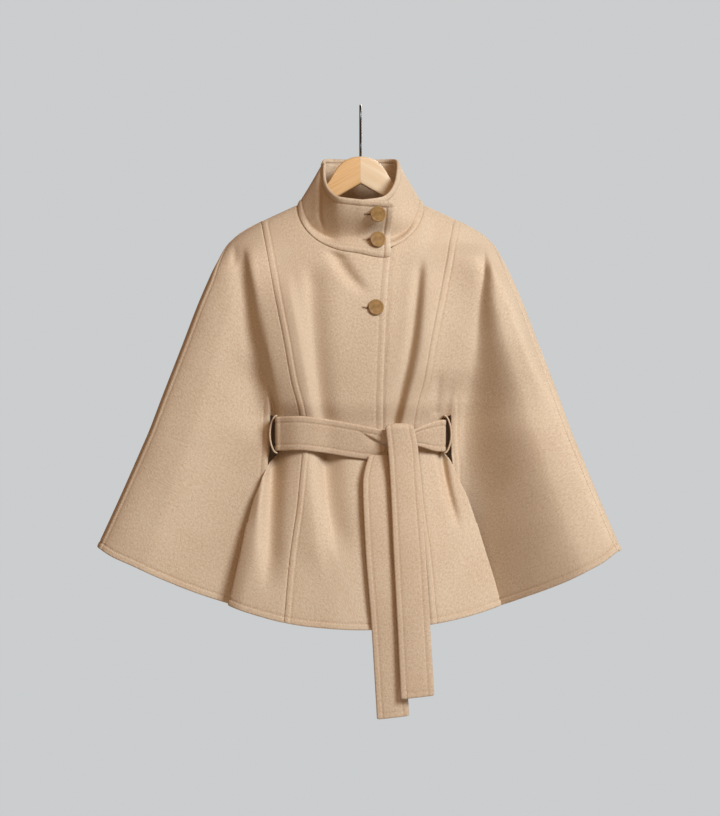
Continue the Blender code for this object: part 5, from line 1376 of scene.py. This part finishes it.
crease_x = CREASE_TOP[0] + (z - CREASE_TOP[1]) * crease_wide / crease_high
crease = CREASE_DEPTH * np.exp(-(((x - crease_x) / CREASE_WIDTH) ** 2))
crease = crease * (y < CREASE_BEHIND) * smooth_step(v, *CREASE_FADE)
base = base - normal * (hollow + crease)[..., None]
normal, _ = grid_normals(base)
from_foot = nearest(base, base[0])
from_rim = nearest(base, base[-1])
from_edge = nearest(base, base[:, 0])
lift = edge_relief(from_foot, *FOOT_RELIEF)
lift = lift + edge_relief(from_rim, *RIM_RELIEF)
lift = lift + edge_relief(from_edge, *COLLAR_EDGE_RELIEF) * (from_rim > RIM_STITCH)
rolled = COLLAR_CLOTH + ROLL * smooth_step(np.minimum(from_rim, from_edge), *ROLL_FADE)
outer = base + normal * lift[..., None]
made, normal = shell("cloth_collar", outer, rolled, camel_wool, uv_turn=-1)
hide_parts("collar")
lines = [
    trace(outer, normal, from_foot, FOOT_STITCH, 0, False, from_edge > EDGE_STITCH),
    trace(outer, normal, from_rim, RIM_STITCH, 0, True, from_edge > EDGE_STITCH),
    trace(outer, normal, from_edge, EDGE_STITCH, 1, False, from_rim > RIM_STITCH),
]
_, count = stitch_piece("stitches_collar", lines)
PANELS["collar"] = (outer, normal, made)
print("collar", len(made.data.polygons), "faces,", count, "stitches")

# %% [markdown]
# ## Buttons and buttonholes
# Three turned buttons close the collar and the front. Each profile is spun about its axis: flat, with a
# raised rim and a rounded edge. A buttonhole lies to the right of each: a slit between two rows of close
# crosswise stitches, its button end hidden under the button. The slit is a thin dark strip laid between the
# rows: painted shade for the shadow inside it.

# %% Build the buttons
REST_GAP = 0.4 * MM
BUTTON_RADIUS = 11.5 * MM
BUTTON_HEIGHT = 2.8 * MM
BUTTON_SIDES = 72
BUTTON_LEAN = 0.4              # how much of the cloth's own lean a button takes on
COLLAR_FOOT_Z = -0.230
BESIDE_EDGE = slice(0, 60)     # columns of a panel next to its free edge
BUTTON_SPOTS = {
    "button_collar_upper": (0.0255, -0.1700),
    "button_collar_lower": (0.0255, -0.2055),
    "button_front": (0.0226, -0.3050),
}
BUTTON_COLUMNS = ("radius_share", "height_share")
BUTTON_PROFILE = [
    (0.0, 0.0), (0.86, 0.0), (0.96, 0.10), (1.0, 0.32), (1.0, 0.58),
    (0.985, 0.76), (0.955, 0.90), (0.91, 0.98), (0.86, 1.0), (0.82, 0.97),
    (0.785, 0.90), (0.75, 0.86), (0.60, 0.835), (0.30, 0.815), (0.0, 0.81),
]


def turned_button(name, spot, up):
    shares = column(BUTTON_PROFILE, BUTTON_COLUMNS, "radius_share") * BUTTON_RADIUS
    heights = column(BUTTON_PROFILE, BUTTON_COLUMNS, "height_share") * BUTTON_HEIGHT
    turn = np.linspace(0, 2 * np.pi, BUTTON_SIDES + 1)[:-1]
    rings = np.stack([shares[1:-1, None] * np.cos(turn), shares[1:-1, None] * np.sin(turn),
                      np.repeat(heights[1:-1, None], BUTTON_SIDES, 1)], -1)
    count, sides = rings.shape[:2]
    points = np.concatenate([rings.reshape(-1, 3), [[0, 0, heights[0]], [0, 0, heights[-1]]]])
    k = np.arange(sides)
    ahead = (k + 1) % sides
    last = (count - 1) * sides
    faces = ring_quads(count, sides).tolist()
    faces += np.stack([ahead, k, np.full(sides, count * sides)], -1).tolist()
    faces += np.stack([last + k, last + ahead, np.full(sides, count * sides + 1)], -1).tolist()
    made = new_object("turned_" + name, points, faces, horn)
    from_z = np.array([0.0, 0.0, 1.0])
    axis = np.cross(from_z, up)
    made.rotation_mode = "AXIS_ANGLE"
    made.rotation_axis_angle = (math.acos(float(up[2])), *(axis / np.linalg.norm(axis)))
    made.location = spot
    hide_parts(name)


for name, (x, z) in BUTTON_SPOTS.items():
    outer, normal, _ = PANELS["collar" if z > COLLAR_FOOT_Z else "front_right"]
    outer = outer[:, BESIDE_EDGE]
    under = np.hypot(outer[..., 0] - x, outer[..., 2] - z) < BUTTON_RADIUS
    depth = outer[under][:, 1].min()
    up = unit(normal[:, BESIDE_EDGE][under].mean(axis=0) * BUTTON_LEAN + np.array([0.0, -1.0, 0.0]))
    turned_button(name, np.array([x, depth, z]) + up * REST_GAP, up)
print("buttons:", len(BUTTON_SPOTS), "of", 2 * BUTTON_RADIUS / MM, "mm")

# %% Build the buttonholes
HOLE_LENGTH = 10.5 * MM
HOLE_UNDER = 3 * MM            # how far a buttonhole goes on under its button
HOLE_GAP = 1.5 * MM
HOLE_MARKS = 16
HOLE_COLUMNS = slice(0, 96)
HOLE_PITCH = 0.75 * MM
HOLE_STITCH = 1.9 * MM
HOLE_THREAD = 0.6 * MM
SHADE_STRIP_HALF_WIDTH = 0.8 * MM
SHADE_STRIP_LIFT = 0.25 * MM
SHADE_STRIP_POINT = 0.15               # above 0 the shade strip's far end is blunt


def surface_spot(name, x, z):
    """Point and normal of a panel's outside nearest to x, z as seen from the front."""
    outer, normal, _ = PANELS[name]
    outer = outer[:, HOLE_COLUMNS]
    miss = (outer[..., 0] - x) ** 2 + (outer[..., 2] - z) ** 2
    best = np.unravel_index(np.argmin(miss), miss.shape)
    return outer[best], normal[:, HOLE_COLUMNS][best]


hole_lines = []
for x, z in BUTTON_SPOTS.values():
    panel = "collar" if z > COLLAR_FOOT_Z else "front_right"
    marks = np.linspace(x - BUTTON_RADIUS - HOLE_LENGTH, x - BUTTON_RADIUS + HOLE_UNDER, HOLE_MARKS)
    for row in (-1, 1):
        found = [surface_spot(panel, mark, z + row * HOLE_GAP) for mark in marks]
        hole_lines.append((np.array([f[0] for f in found]), np.array([f[1] for f in found])))
shade_strip_points = []
shade_strip_faces = []
wide = SHADE_STRIP_HALF_WIDTH * np.sin(np.linspace(SHADE_STRIP_POINT, 1, HOLE_MARKS) * np.pi / 2)[:, None]
for lower, upper in zip(hole_lines[0::2], hole_lines[1::2]):
    middle = (upper[0] + lower[0]) / 2 + upper[1] * SHADE_STRIP_LIFT
    across = unit(upper[0] - lower[0])
    k = len(shade_strip_points) * 2 * HOLE_MARKS + np.arange(HOLE_MARKS - 1)
    shade_strip_points.append(np.concatenate([middle + across * wide, middle - across * wide]))
    shade_strip_faces += np.stack([k, k + 1, k + 1 + HOLE_MARKS, k + HOLE_MARKS], -1).tolist()
# Painted shade: a thin dark strip lies along each slit.
shade_strips = new_object("buttonhole_painted_shade", np.concatenate(shade_strip_points), shade_strip_faces, painted_shade_wool)
_, count = stitch_piece("buttonhole_stitches", hole_lines, pitch=HOLE_PITCH, length=HOLE_STITCH,
                        width=HOLE_THREAD, crosswise=True)
print("buttonholes:", len(shade_strip_points), "with", count, "stitches")

# %% [markdown]
# ## Belt
# The belt is the same wool folded double and topstitched along both edges. It comes out of each arm slit,
# crosses the front and is tied to the wearer's left of the middle. One tail is turned over the knot and hangs
# outside, the other comes out under the belt. Inside, the belt goes round the back.

# %% Tables of the belt
BELT_WIDTH = 0.046
BELT_CLOTH = 4.0 * MM
BELT_INSIDE_Y = -0.028
BELT_COLUMNS = ("x", "middle_z", "height")
BELT_RIGHT = [
    (-0.1300, -0.4900, 0.046),
    (-0.0900, -0.4885, 0.046),
    (-0.0600, -0.4915, 0.046),
    (-0.0230, -0.4975, 0.046),
    (0.0200, -0.5045, 0.043),
    (0.0262, -0.5052, 0.0415),
    (0.0400, -0.5010, 0.029),
]
BELT_LEFT = [
    (0.0760, -0.4955, 0.018),
    (0.0920, -0.4935, 0.029),
    (0.1110, -0.4930, 0.041),
    (0.1300, -0.4910, 0.046),
]
INSIDE_COLUMNS = ("x", "y")
BELT_INSIDE = [
    (0.1230, BELT_INSIDE_Y), (0.1270, 0.002), (0.1200, 0.030), (0.0980, 0.050), (0.0560, 0.062), (0.0, 0.066),
]
TAIL_COLUMNS = ("z", "x_right", "x_left", "stand_off")
TAIL_OVER = [
    (-0.4815, 0.0380, 0.0760, 0.0180),
    (-0.5130, 0.0415, 0.0820, 0.0200),
    (-0.5560, 0.0445, 0.0840, 0.0185),
    (-0.6500, 0.0485, 0.0910, 0.0160),
    (-0.7600, 0.0540, 0.0975, 0.0165),
    (-0.8620, 0.0590, 0.1035, 0.0195),
]
TAIL_UNDER = [
    (-0.5215, 0.0135, 0.0470, 0.0025),
    (-0.5400, 0.0080, 0.0475, 0.0030),
    (-0.5600, 0.0050, 0.0480, 0.0035),
    (-0.6500, 0.0085, 0.0520, 0.0035),
    (-0.7600, 0.0170, 0.0605, 0.0035),
    (-0.8930, 0.0250, 0.0680, 0.0040),
]
print("belt:", BELT_WIDTH / MM, "mm wide,", BELT_CLOTH / MM, "mm thick")

# %% Belt across the front and inside
BELT_LEAN = 11.0 * MM          # the upper edge stands that much further out than the lower one
BELT_GAP = 2.5 * REST_GAP
BELT_TURN_X = 0.118            # where the belt turns into the slit
BELT_TURN_RADIUS = 0.005
BELT_INSIDE_RUN = 0.026
WAIST_SPAN = (-0.516, -0.466)
WAIST_X = (-0.150, 0.150)
WAIST_REACH = 0.010            # the belt bridges hollows narrower than about twice this
WAIST_SOFT = 0.012
BED_MARKS = 241
ACROSS_MARKS = 9
PULL_LINE = ((0.0060, -0.4892), (0.0358, -0.5049))
PULL_STRIP = 1.6 * MM
PULL_HOLLOW = 3.0 * MM
PULL_REACH = 9.0 * MM
PULL_SOFT = 0.8 * MM
PULL_SPAN = (-0.008, 0.024)


def band_bed(marks, seen, reach, soft):
    """A smooth line over what stands out most along a band, of which seen(mark) gives the depth at a mark."""
    fine = np.linspace(marks[0], marks[1], BED_MARKS)
    step = fine[1] - fine[0]
    depth = np.min([seen(fine + d) for d in np.arange(-reach, reach + step, step)], axis=0)
    near = np.arange(-3 * soft, 3 * soft + step, step)
    weight = np.exp(-((near / soft) ** 2))
    pad = len(near) // 2
    smooth = np.convolve(np.pad(depth, pad, mode="edge"), weight / weight.sum(), mode="same")[pad:-pad]
    return smooth_line(fine, smooth)


def across_waist(x):
    levels = np.linspace(*WAIST_SPAN, ACROSS_MARKS)
    return np.min([front_y(x, z, cosine_at(x, z), "front") for z in levels], axis=0)


belt_bed = band_bed(WAIST_X, across_waist, WAIST_REACH, WAIST_SOFT)


def knot_pull(x, z):
    """The knot pulls on the belt: its upper edge is drawn forward along a slanting fold, hollow below it."""
    (near_x, near_z), (far_x, far_z) = PULL_LINE
    above = z - near_z - (x - near_x) * (far_z - near_z) / (far_x - near_x)
    strip = PULL_STRIP * smooth_step(above, -PULL_SOFT, PULL_SOFT)
    hollow = PULL_HOLLOW * np.exp(-((above / PULL_REACH) ** 2)) * smooth_step(above, PULL_SOFT, -PULL_SOFT)
    return (strip - hollow) * smooth_step(x, *PULL_SPAN)


def belt_stretch(rows, side):
    """Outside of a front stretch: c along it from the knot to inside the slit, v from its upper edge down."""
    marks = column(rows, BELT_COLUMNS, "x")
    line = lines_of(rows, BELT_COLUMNS)
    middle, height = line["middle_z"], line["height"]
    knot_x = marks[-1] if side < 0 else marks[0]
    turn_x = side * BELT_TURN_X
    flat = abs(turn_x - knot_x)
    outer_radius = BELT_TURN_RADIUS + BELT_CLOTH / 2
    lift = LAP_LIFT + BELT_GAP + BELT_CLOTH + BELT_LEAN / 2
    bend = outer_radius * math.pi / 2

    def surface(c, v):
        run = c * (flat + bend + BELT_INSIDE_RUN)
        on_x = knot_x + side * np.minimum(run, flat)
        z = middle(on_x) + height(on_x) * (0.5 - v)
        y = belt_bed(on_x) - lift - (knot_pull(on_x, z) if side < 0 else 0.0) - BELT_LEAN * (0.5 - v)
        turn = np.clip((run - flat) / outer_radius, 0, np.pi / 2)
        straight = np.clip((run - flat - bend) / BELT_INSIDE_RUN, 0, None)
        x = on_x + side * outer_radius * np.sin(turn)
        y = y + outer_radius * (1 - np.cos(turn))
        y = y + straight * (BELT_INSIDE_Y - y)
        level = np.where(run > flat, middle(turn_x) + height(turn_x) * (0.5 - v), z)
        return np.stack([x, y, level], -1)

    return surface


def belt_inside(c, v):
    """Outside of the stretch that runs round inside the back, from one slit to the other."""
    half = np.array(BELT_INSIDE, float)
    path = np.concatenate([half * (-1, 1), half[::-1][1:]])
    run = run_along(path, 0)
    lines = [smooth_line(run, path[:, k]) for k in range(len(INSIDE_COLUMNS))]
    at = c * run[-1]
    tiny = 1e-4
    ahead = unit(np.stack([line(at + tiny) - line(at - tiny) for line in lines], -1))
    x = lines[0](at) - ahead[..., 1] * BELT_CLOTH / 2
    y = lines[1](at) + ahead[..., 0] * BELT_CLOTH / 2
    return np.stack([x, y, WAIST_Z + BELT_WIDTH * (0.5 - v)], -1)


print("belt turns into the slits", BELT_TURN_X / MM, "mm from the middle")

# %% Belt tails
TAIL_SLANT = 5.0 * MM
TAIL_CROWN = 1.6 * MM
TAIL_SPAN = (-0.1, 1.1)        # shares across a tail over which it feels the cloth below
TAIL_LEVELS = (-0.90, -0.44)
TAIL_REACH = 0.020
TAIL_SOFT = 0.030
HEM_CATCH = 4 * MM
TURNOVER_RADIUS = 0.0080
TURNOVER_BACK = 0.018
TURNOVER_PUFF = 0.45


def tail_bed(line):
    """Depth of the cloth under a tail at each level: on the front, then straight down below the hem."""
    def across_tail(z):
        held = np.maximum(z, HEM["front"](line["x_left"](z)) + HEM_CATCH)
        shares = np.linspace(*TAIL_SPAN, ACROSS_MARKS)
        spots = [line["x_right"](z) + (line["x_left"](z) - line["x_right"](z)) * c for c in shares]
        return np.min([front_y(x, held, cosine_at(x, held), "front") for x in spots], axis=0)

    return band_bed(TAIL_LEVELS, across_tail, TAIL_REACH, TAIL_SOFT)


def belt_tail(rows, turned):
    """Outside of a tail: c from its wearer's right edge to its left one, v down from its top."""
    line = lines_of(rows, TAIL_COLUMNS)
    bed = tail_bed(line)
    top = rows[0][0]
    low = rows[-1][0]
    bend = TURNOVER_RADIUS * math.pi
    hidden = bend + TURNOVER_BACK if turned else 0.0

    def surface(c, v):
        drop = top - low + TAIL_SLANT * (0.5 - c) * v ** 4
        run = v * (drop + hidden) - hidden
        z = top - np.maximum(run, 0.0)
        x = line["x_right"](z) + (line["x_left"](z) - line["x_right"](z)) * c
        y = bed(z) - LAP_LIFT - line["stand_off"](z) - BELT_CLOTH - TAIL_CROWN * (1 - (2 * c - 1) ** 2)
        turn = np.clip(-run / TURNOVER_RADIUS, 0, np.pi)
        puff = 1 - TURNOVER_PUFF * np.abs(2 * c - 1) ** 3
        z = z + TURNOVER_RADIUS * puff * np.sin(turn) - np.clip(-run - bend, 0, None)
        y = y + TURNOVER_RADIUS * (1 - np.cos(turn))
        return np.stack([x, y, z], -1)

    return surface


print("tails end at", TAIL_OVER[-1][0], "and", TAIL_UNDER[-1][0], "m")

# %% Build the belt
BELT_SHARES = np.linspace(0, 1, 41)
BELT_STITCH_SHARE = 0.15
BELT_BAND = 0.25 * MM
BELT_BAND_FADE = 0.75
BELT_GROOVE = 0.6 * MM
END_STITCH = 6.9 * MM


def belt_piece(name, base, across_axis, end_last=False):
    """A belt shell with a groove of stitches inside both long edges, and inside its end where it has one."""
    normal, _ = grid_normals(base)
    width = run_along(base, across_axis)
    full = width[-1:] if across_axis == 0 else width[:, -1:]
    inside = np.minimum(width, full - width)
    stitch = BELT_STITCH_SHARE * full
    raised = BELT_BAND * smooth_step(inside, stitch, stitch * BELT_BAND_FADE)
    relief = raised - groove(inside - stitch, BELT_GROOVE)
    if end_last:
        from_end = nearest(base, base[-1])
        relief = relief - groove(from_end - END_STITCH, BELT_GROOVE) * (inside > stitch)
    outer = base + normal * relief[..., None]
    made, normal = shell("cloth_" + name, outer, BELT_CLOTH, camel_wool_belt)
    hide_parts(name)
    size = base.shape[across_axis] - 1
    rows = [round(size * BELT_STITCH_SHARE), round(size * (1 - BELT_STITCH_SHARE))]
    lines = []
    for k in rows:
        picked = (k, slice(None)) if across_axis == 0 else (slice(None), k)
        line, up = outer[picked], normal[picked]
        if end_last:
            stop = np.argmax(from_end[picked] < END_STITCH) or len(line)
            line, up = line[:stop], up[:stop]
        lines.append((line, up))
    if end_last:
        middle = slice(rows[0], rows[1] + 1)
        lines.append(trace(outer[:, middle], normal[:, middle], from_end[:, middle], END_STITCH, 0, True))
    stitch_piece("stitches_" + name, lines)
    PANELS[name] = (outer, normal, made)


c, v = np.meshgrid(np.linspace(0, 1, 150), BELT_SHARES)
belt_piece("belt_wrap_right", belt_stretch(BELT_RIGHT, -1)(c, v), 0)
c, v = np.meshgrid(np.linspace(0, 1, 80), BELT_SHARES)
belt_piece("belt_wrap_left", belt_stretch(BELT_LEFT, 1)(c, v), 0)
c, v = np.meshgrid(np.linspace(0, 1, 160), np.linspace(0, 1, 21))
belt_piece("belt_back", belt_inside(c, v), 0)
c, v = np.meshgrid(BELT_SHARES, np.linspace(0, 1, 190))
belt_piece("belt_tail_over", belt_tail(TAIL_OVER, True)(c, v), 1, True)
c, v = np.meshgrid(BELT_SHARES, np.linspace(0, 1, 150))
belt_piece("belt_tail_under", belt_tail(TAIL_UNDER, False)(c, v), 1, True)
print("belt pieces:", [n for n in PANELS if n.startswith("belt")])

# %% [markdown]
# ## Knot and belt loops
# Under the turned tail lies the wrapped core of the knot, of which only its ends show. The loops are narrow
# strips of cloth that stand out round the belt at each slit.

# %% Build the knot
KNOT_X = 0.0578
KNOT_Z = -0.5075
KNOT_HALF = (0.0178, 0.0066, 0.0130)
KNOT_SQUARE = 0.7              # below 1 the core is boxier than an ellipsoid
KNOT_SIDES = 96
KNOT_RINGS = 39
KNOT_ROUND = (0.018, 0.012)    # metres of cloth for each radian round the core
INSIDE_OUT = [0, 3, 2, 1]      # a face's corners in the other turning sense

behind_tail = PANELS["belt_tail_over"][0][:, len(BELT_SHARES) // 2]
behind_tail = behind_tail[np.argmin(np.abs(behind_tail[:, 2] - KNOT_Z)), 1] + BELT_CLOTH
centre = np.array([KNOT_X, behind_tail + BELT_GAP + KNOT_HALF[1], KNOT_Z])
turn, rise = np.meshgrid(np.linspace(0, 2 * np.pi, KNOT_SIDES + 1)[:-1],
                         np.linspace(-np.pi / 2, np.pi / 2, KNOT_RINGS + 2)[1:-1])
ball = np.stack([np.cos(turn) * np.cos(rise), np.sin(rise), np.sin(turn) * np.cos(rise)], -1)
ball = np.sign(ball) * np.abs(ball) ** KNOT_SQUARE * np.array(KNOT_HALF) + centre
k = np.arange(KNOT_SIDES)
faces = ring_quads(KNOT_RINGS, KNOT_SIDES)[:, INSIDE_OUT].tolist()
faces += [k.tolist(), ((KNOT_RINGS - 1) * KNOT_SIDES + k[::-1]).tolist()]
uv = np.stack([turn * KNOT_ROUND[0], rise * KNOT_ROUND[1]], -1).reshape(-1, 2)
knot = new_object("cloth_belt_knot", ball.reshape(-1, 3), faces, camel_wool_belt, uv)
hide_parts("belt_knot")
print("knot", len(knot.data.polygons), "faces")

# %% Build the loops
LOOP_CLOTH = 2.4 * MM
LOOP_WIDTH = 0.008
LOOP_FOOT_X = {-1: 0.1222, 1: 0.1224}
LOOP_REACH_X = 0.1331
LOOP_SEAT_Y = {-1: -0.8 * MM, 1: 0.8 * MM}   # the right loop sits further out, the left one further in
LOOP_LEVELS = (-0.4615, -0.5185)
LOOP_BOW = 0.5                 # the lower, the straighter the loop's middle and the tighter its ends
LOOP_ROWS = 61
LOOP_COLUMNS = 9
FOLD_SPAN = (ZONE_ENDS[0] - 0.02, ZONE_ENDS[0] + 0.06)   # shares of the side front round its folded edge

for name, side in (("belt_loop_right", -1), ("belt_loop_left", 1)):
    levels = np.linspace(*LOOP_LEVELS, LOOP_ROWS)
    across = np.linspace(*FOLD_SPAN, 20)
    feet = [np.min(side_section(across, np.full_like(across, z), side)[1]) for z in LOOP_LEVELS]
    anchor = float(min(feet)) + REST_GAP + LOOP_SEAT_Y[side]
    bow = np.abs(np.sin(np.linspace(0, np.pi, LOOP_ROWS))) ** LOOP_BOW
    reach = LOOP_FOOT_X[side] + (LOOP_REACH_X - LOOP_FOOT_X[side]) * bow + LOOP_CLOTH / 2
    outer = np.empty((LOOP_ROWS, LOOP_COLUMNS, 3))
    outer[..., 0] = (side * reach)[:, None]
    outer[..., 1] = np.linspace(anchor - LOOP_WIDTH, anchor, LOOP_COLUMNS)[None]
    outer[..., 2] = levels[:, None]
    made, _ = shell("cloth_" + name, outer, LOOP_CLOTH, camel_wool_belt)
    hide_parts(name)
print("loops: two,", LOOP_WIDTH / MM, "mm wide")

# %% [markdown]
# ## Hanger
# Two beech arms meet at a glued joint in the middle; each is bandsawn from a board and rounded over. The wire
# hook is bent from one length: shank, crook and tip. The wood's coordinates run along each arm, so the grain
# meets in a chevron.

# %% Build the wooden arms
HANGER_HALF_THICK = 0.0070
HANGER_EDGE = 0.0036
HANGER_TIP_THIN = 0.0012
HANGER_TIP_X = 0.1815
HANGER_TIP_LENGTH = 0.0034
HANGER_TIP_ROUND = 0.0042
HANGER_CLEARANCE = 0.0019
HANGER_TIP_CLEARANCE = 0.0016
TIP_CLEARANCE_SPAN = (0.135, 0.175)
JOINT_HALF_GAP = 0.00015
SHOULDER_RANGE = (-0.1405, -0.215)
GRAIN_TILT = 0.35              # how fast the grain drifts from the front face to the back one
LEFT_BOARD = 0.3               # shifts the left arm's grain, as if cut further along the board
WOOD_COLUMNS = ("x", "top_z")
WOOD_TOP = [
    (0.0000, -0.0745), (0.0100, -0.0757), (0.0200, -0.0792), (0.0300, -0.0862), (0.0380, -0.0962),
    (0.0440, -0.1065), (0.0520, -0.1180), (0.0650, -0.1310), (0.0800, -0.1420), (0.0940, -0.1500),
]
WOOD_APEX_Z = -0.1155
WOOD_SLOPE = 0.567
WOOD = lines_of(WOOD_TOP, WOOD_COLUMNS)
CORNER_STEPS = 6


def shoulder_z(x):
    levels = np.linspace(*SHOULDER_RANGE, 400)
    return np.interp(x, SECTION["half_width"](levels), levels)


def wooden_arm(name, side):
    tip = HANGER_TIP_X + HANGER_TIP_LENGTH * np.sin(np.linspace(0, np.pi / 2, 8))[1:]
    length = spaced((JOINT_HALF_GAP, NECK_HALF_WIDTH, HANGER_TIP_X), (59, 39))
    rings = []
    for u in np.concatenate([length, tip]):
        held = min(u, HANGER_TIP_X)
        past = max(u - HANGER_TIP_X, 0) / HANGER_TIP_LENGTH
        less = HANGER_TIP_ROUND * (1 - math.sqrt(max(1 - past ** 2, 0)))
        clearance = HANGER_CLEARANCE + HANGER_TIP_CLEARANCE * float(smooth_step(held, *TIP_CLEARANCE_SPAN))
        under_cloth = float(shoulder_z(held)) - CLOTH - clearance
        top = (float(WOOD["top_z"](u)) if u < NECK_HALF_WIDTH else under_cloth) - less
        low = WOOD_APEX_Z - WOOD_SLOPE * u + less
        half = HANGER_HALF_THICK - HANGER_TIP_THIN * (held / HANGER_TIP_X) ** 2 - less
        round_off = min(HANGER_EDGE, (top - low) * 0.45, half * 0.9)
        corner = []
        for cy, cz, begin in ((-1, 1, 180), (1, 1, 90), (1, -1, 0), (-1, -1, -90)):
            for step in np.linspace(0, -90, CORNER_STEPS + 1):
                angle = math.radians(begin + step)
                y = cy * (half - round_off) + round_off * math.cos(angle)
                z = (top - round_off if cz > 0 else low + round_off) + round_off * math.sin(angle)
                corner.append((side * u, y, z))
        rings.append(corner)
    points = np.array(rings)
    count, sides = points.shape[:2]
    k = np.arange(sides)
    quads = ring_quads(count, sides)[:, INSIDE_OUT]
    ends = [k.tolist(), ((count - 1) * sides + k[::-1]).tolist()]
    faces = (quads if side > 0 else quads[:, ::-1]).tolist()
    faces += ends if side > 0 else [end[::-1] for end in ends]
    flat = points.reshape(-1, 3)
    lean = math.atan(WOOD_SLOPE)
    along = np.abs(flat[:, 0]) * math.cos(lean) - flat[:, 2] * math.sin(lean)
    across = np.abs(flat[:, 0]) * math.sin(lean) + flat[:, 2] * math.cos(lean) + flat[:, 1] * GRAIN_TILT
    uv = np.stack([along + (LEFT_BOARD if side > 0 else 0.0), across], -1)
    # The wearer's right arm takes the beech darkened with painted shade.
    made = new_object("beech_" + name, flat, faces, beech_painted_light if side > 0 else beech_painted_shade, uv, "grain")
    made.data.set_sharp_from_angle(angle=math.radians(50))
    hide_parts(name)


for name, side in (("hanger_arm_right", -1), ("hanger_arm_left", 1)):
    wooden_arm(name, side)
print("arms:", HANGER_TIP_X + HANGER_TIP_LENGTH, "m long each way")

# %% Build the hook
WIRE_RADIUS = 0.0018
WIRE_SIDES = 24
WIRE_TIP = (0.97, 0.85, 0.62, 0.25)   # the last rings close to a rounded end
CROOK_RADIUS = 0.0185
SHANK_LOW = -0.0740
SHANK_BEND = -0.058
HOOK_TIP_DEG = -32.0
crook_z = WIRE_RADIUS - CROOK_RADIUS
ease = np.linspace(0, 1, 30)
shank = [(-CROOK_RADIUS * t * t * (3 - 2 * t), SHANK_BEND + (crook_z - SHANK_BEND) * t) for t in ease]
bow = np.radians(np.linspace(180, HOOK_TIP_DEG, 80))[1:]
crook = np.stack([CROOK_RADIUS * np.cos(bow), crook_z + CROOK_RADIUS * np.sin(bow)], -1)
path = np.concatenate([[(0.0, SHANK_LOW)], shank, crook])
way = unit(np.gradient(path, axis=0))
turn = np.linspace(0, 2 * np.pi, WIRE_SIDES + 1)[:-1]
size = np.full(len(path), WIRE_RADIUS)
size[-len(WIRE_TIP):] = WIRE_RADIUS * np.array(WIRE_TIP)
points = np.zeros((len(path), WIRE_SIDES, 3))
points[..., 0] = size[:, None] * np.cos(turn)
points[..., 1] = path[:, None, 0] - way[:, None, 1] * size[:, None] * np.sin(turn)
points[..., 2] = path[:, None, 1] + way[:, None, 0] * size[:, None] * np.sin(turn)
k = np.arange(WIRE_SIDES)
faces = ring_quads(len(path), WIRE_SIDES).tolist()
faces += [k[::-1].tolist(), ((len(path) - 1) * WIRE_SIDES + k).tolist()]
hook = new_object("wire_hook", points.reshape(-1, 3), faces, steel)
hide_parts("hanger_hook")
print("hook of", len(path), "rings")

# %% [markdown]
# ## Sheets
# For each cloth piece, the size of the rectangle it was cut from and its own flat area are printed.

def flat_size(outer):
    width = run_along(outer, 1)[:, -1].max()
    length = run_along(outer, 0)[-1].max()
    across = np.diff(outer, axis=1)[:-1]
    down = np.diff(outer, axis=0)[:, :-1]
    area = np.linalg.norm(np.cross(across, down), axis=-1).sum()
    return width, length, area


for name, (outer, _, made) in PANELS.items():
    width, length, area = flat_size(outer)
    area = min(area, width * length)
    print(name, "cut from", round(width, 3), "x", round(length, 3), "m, area", round(area, 4), "m2")
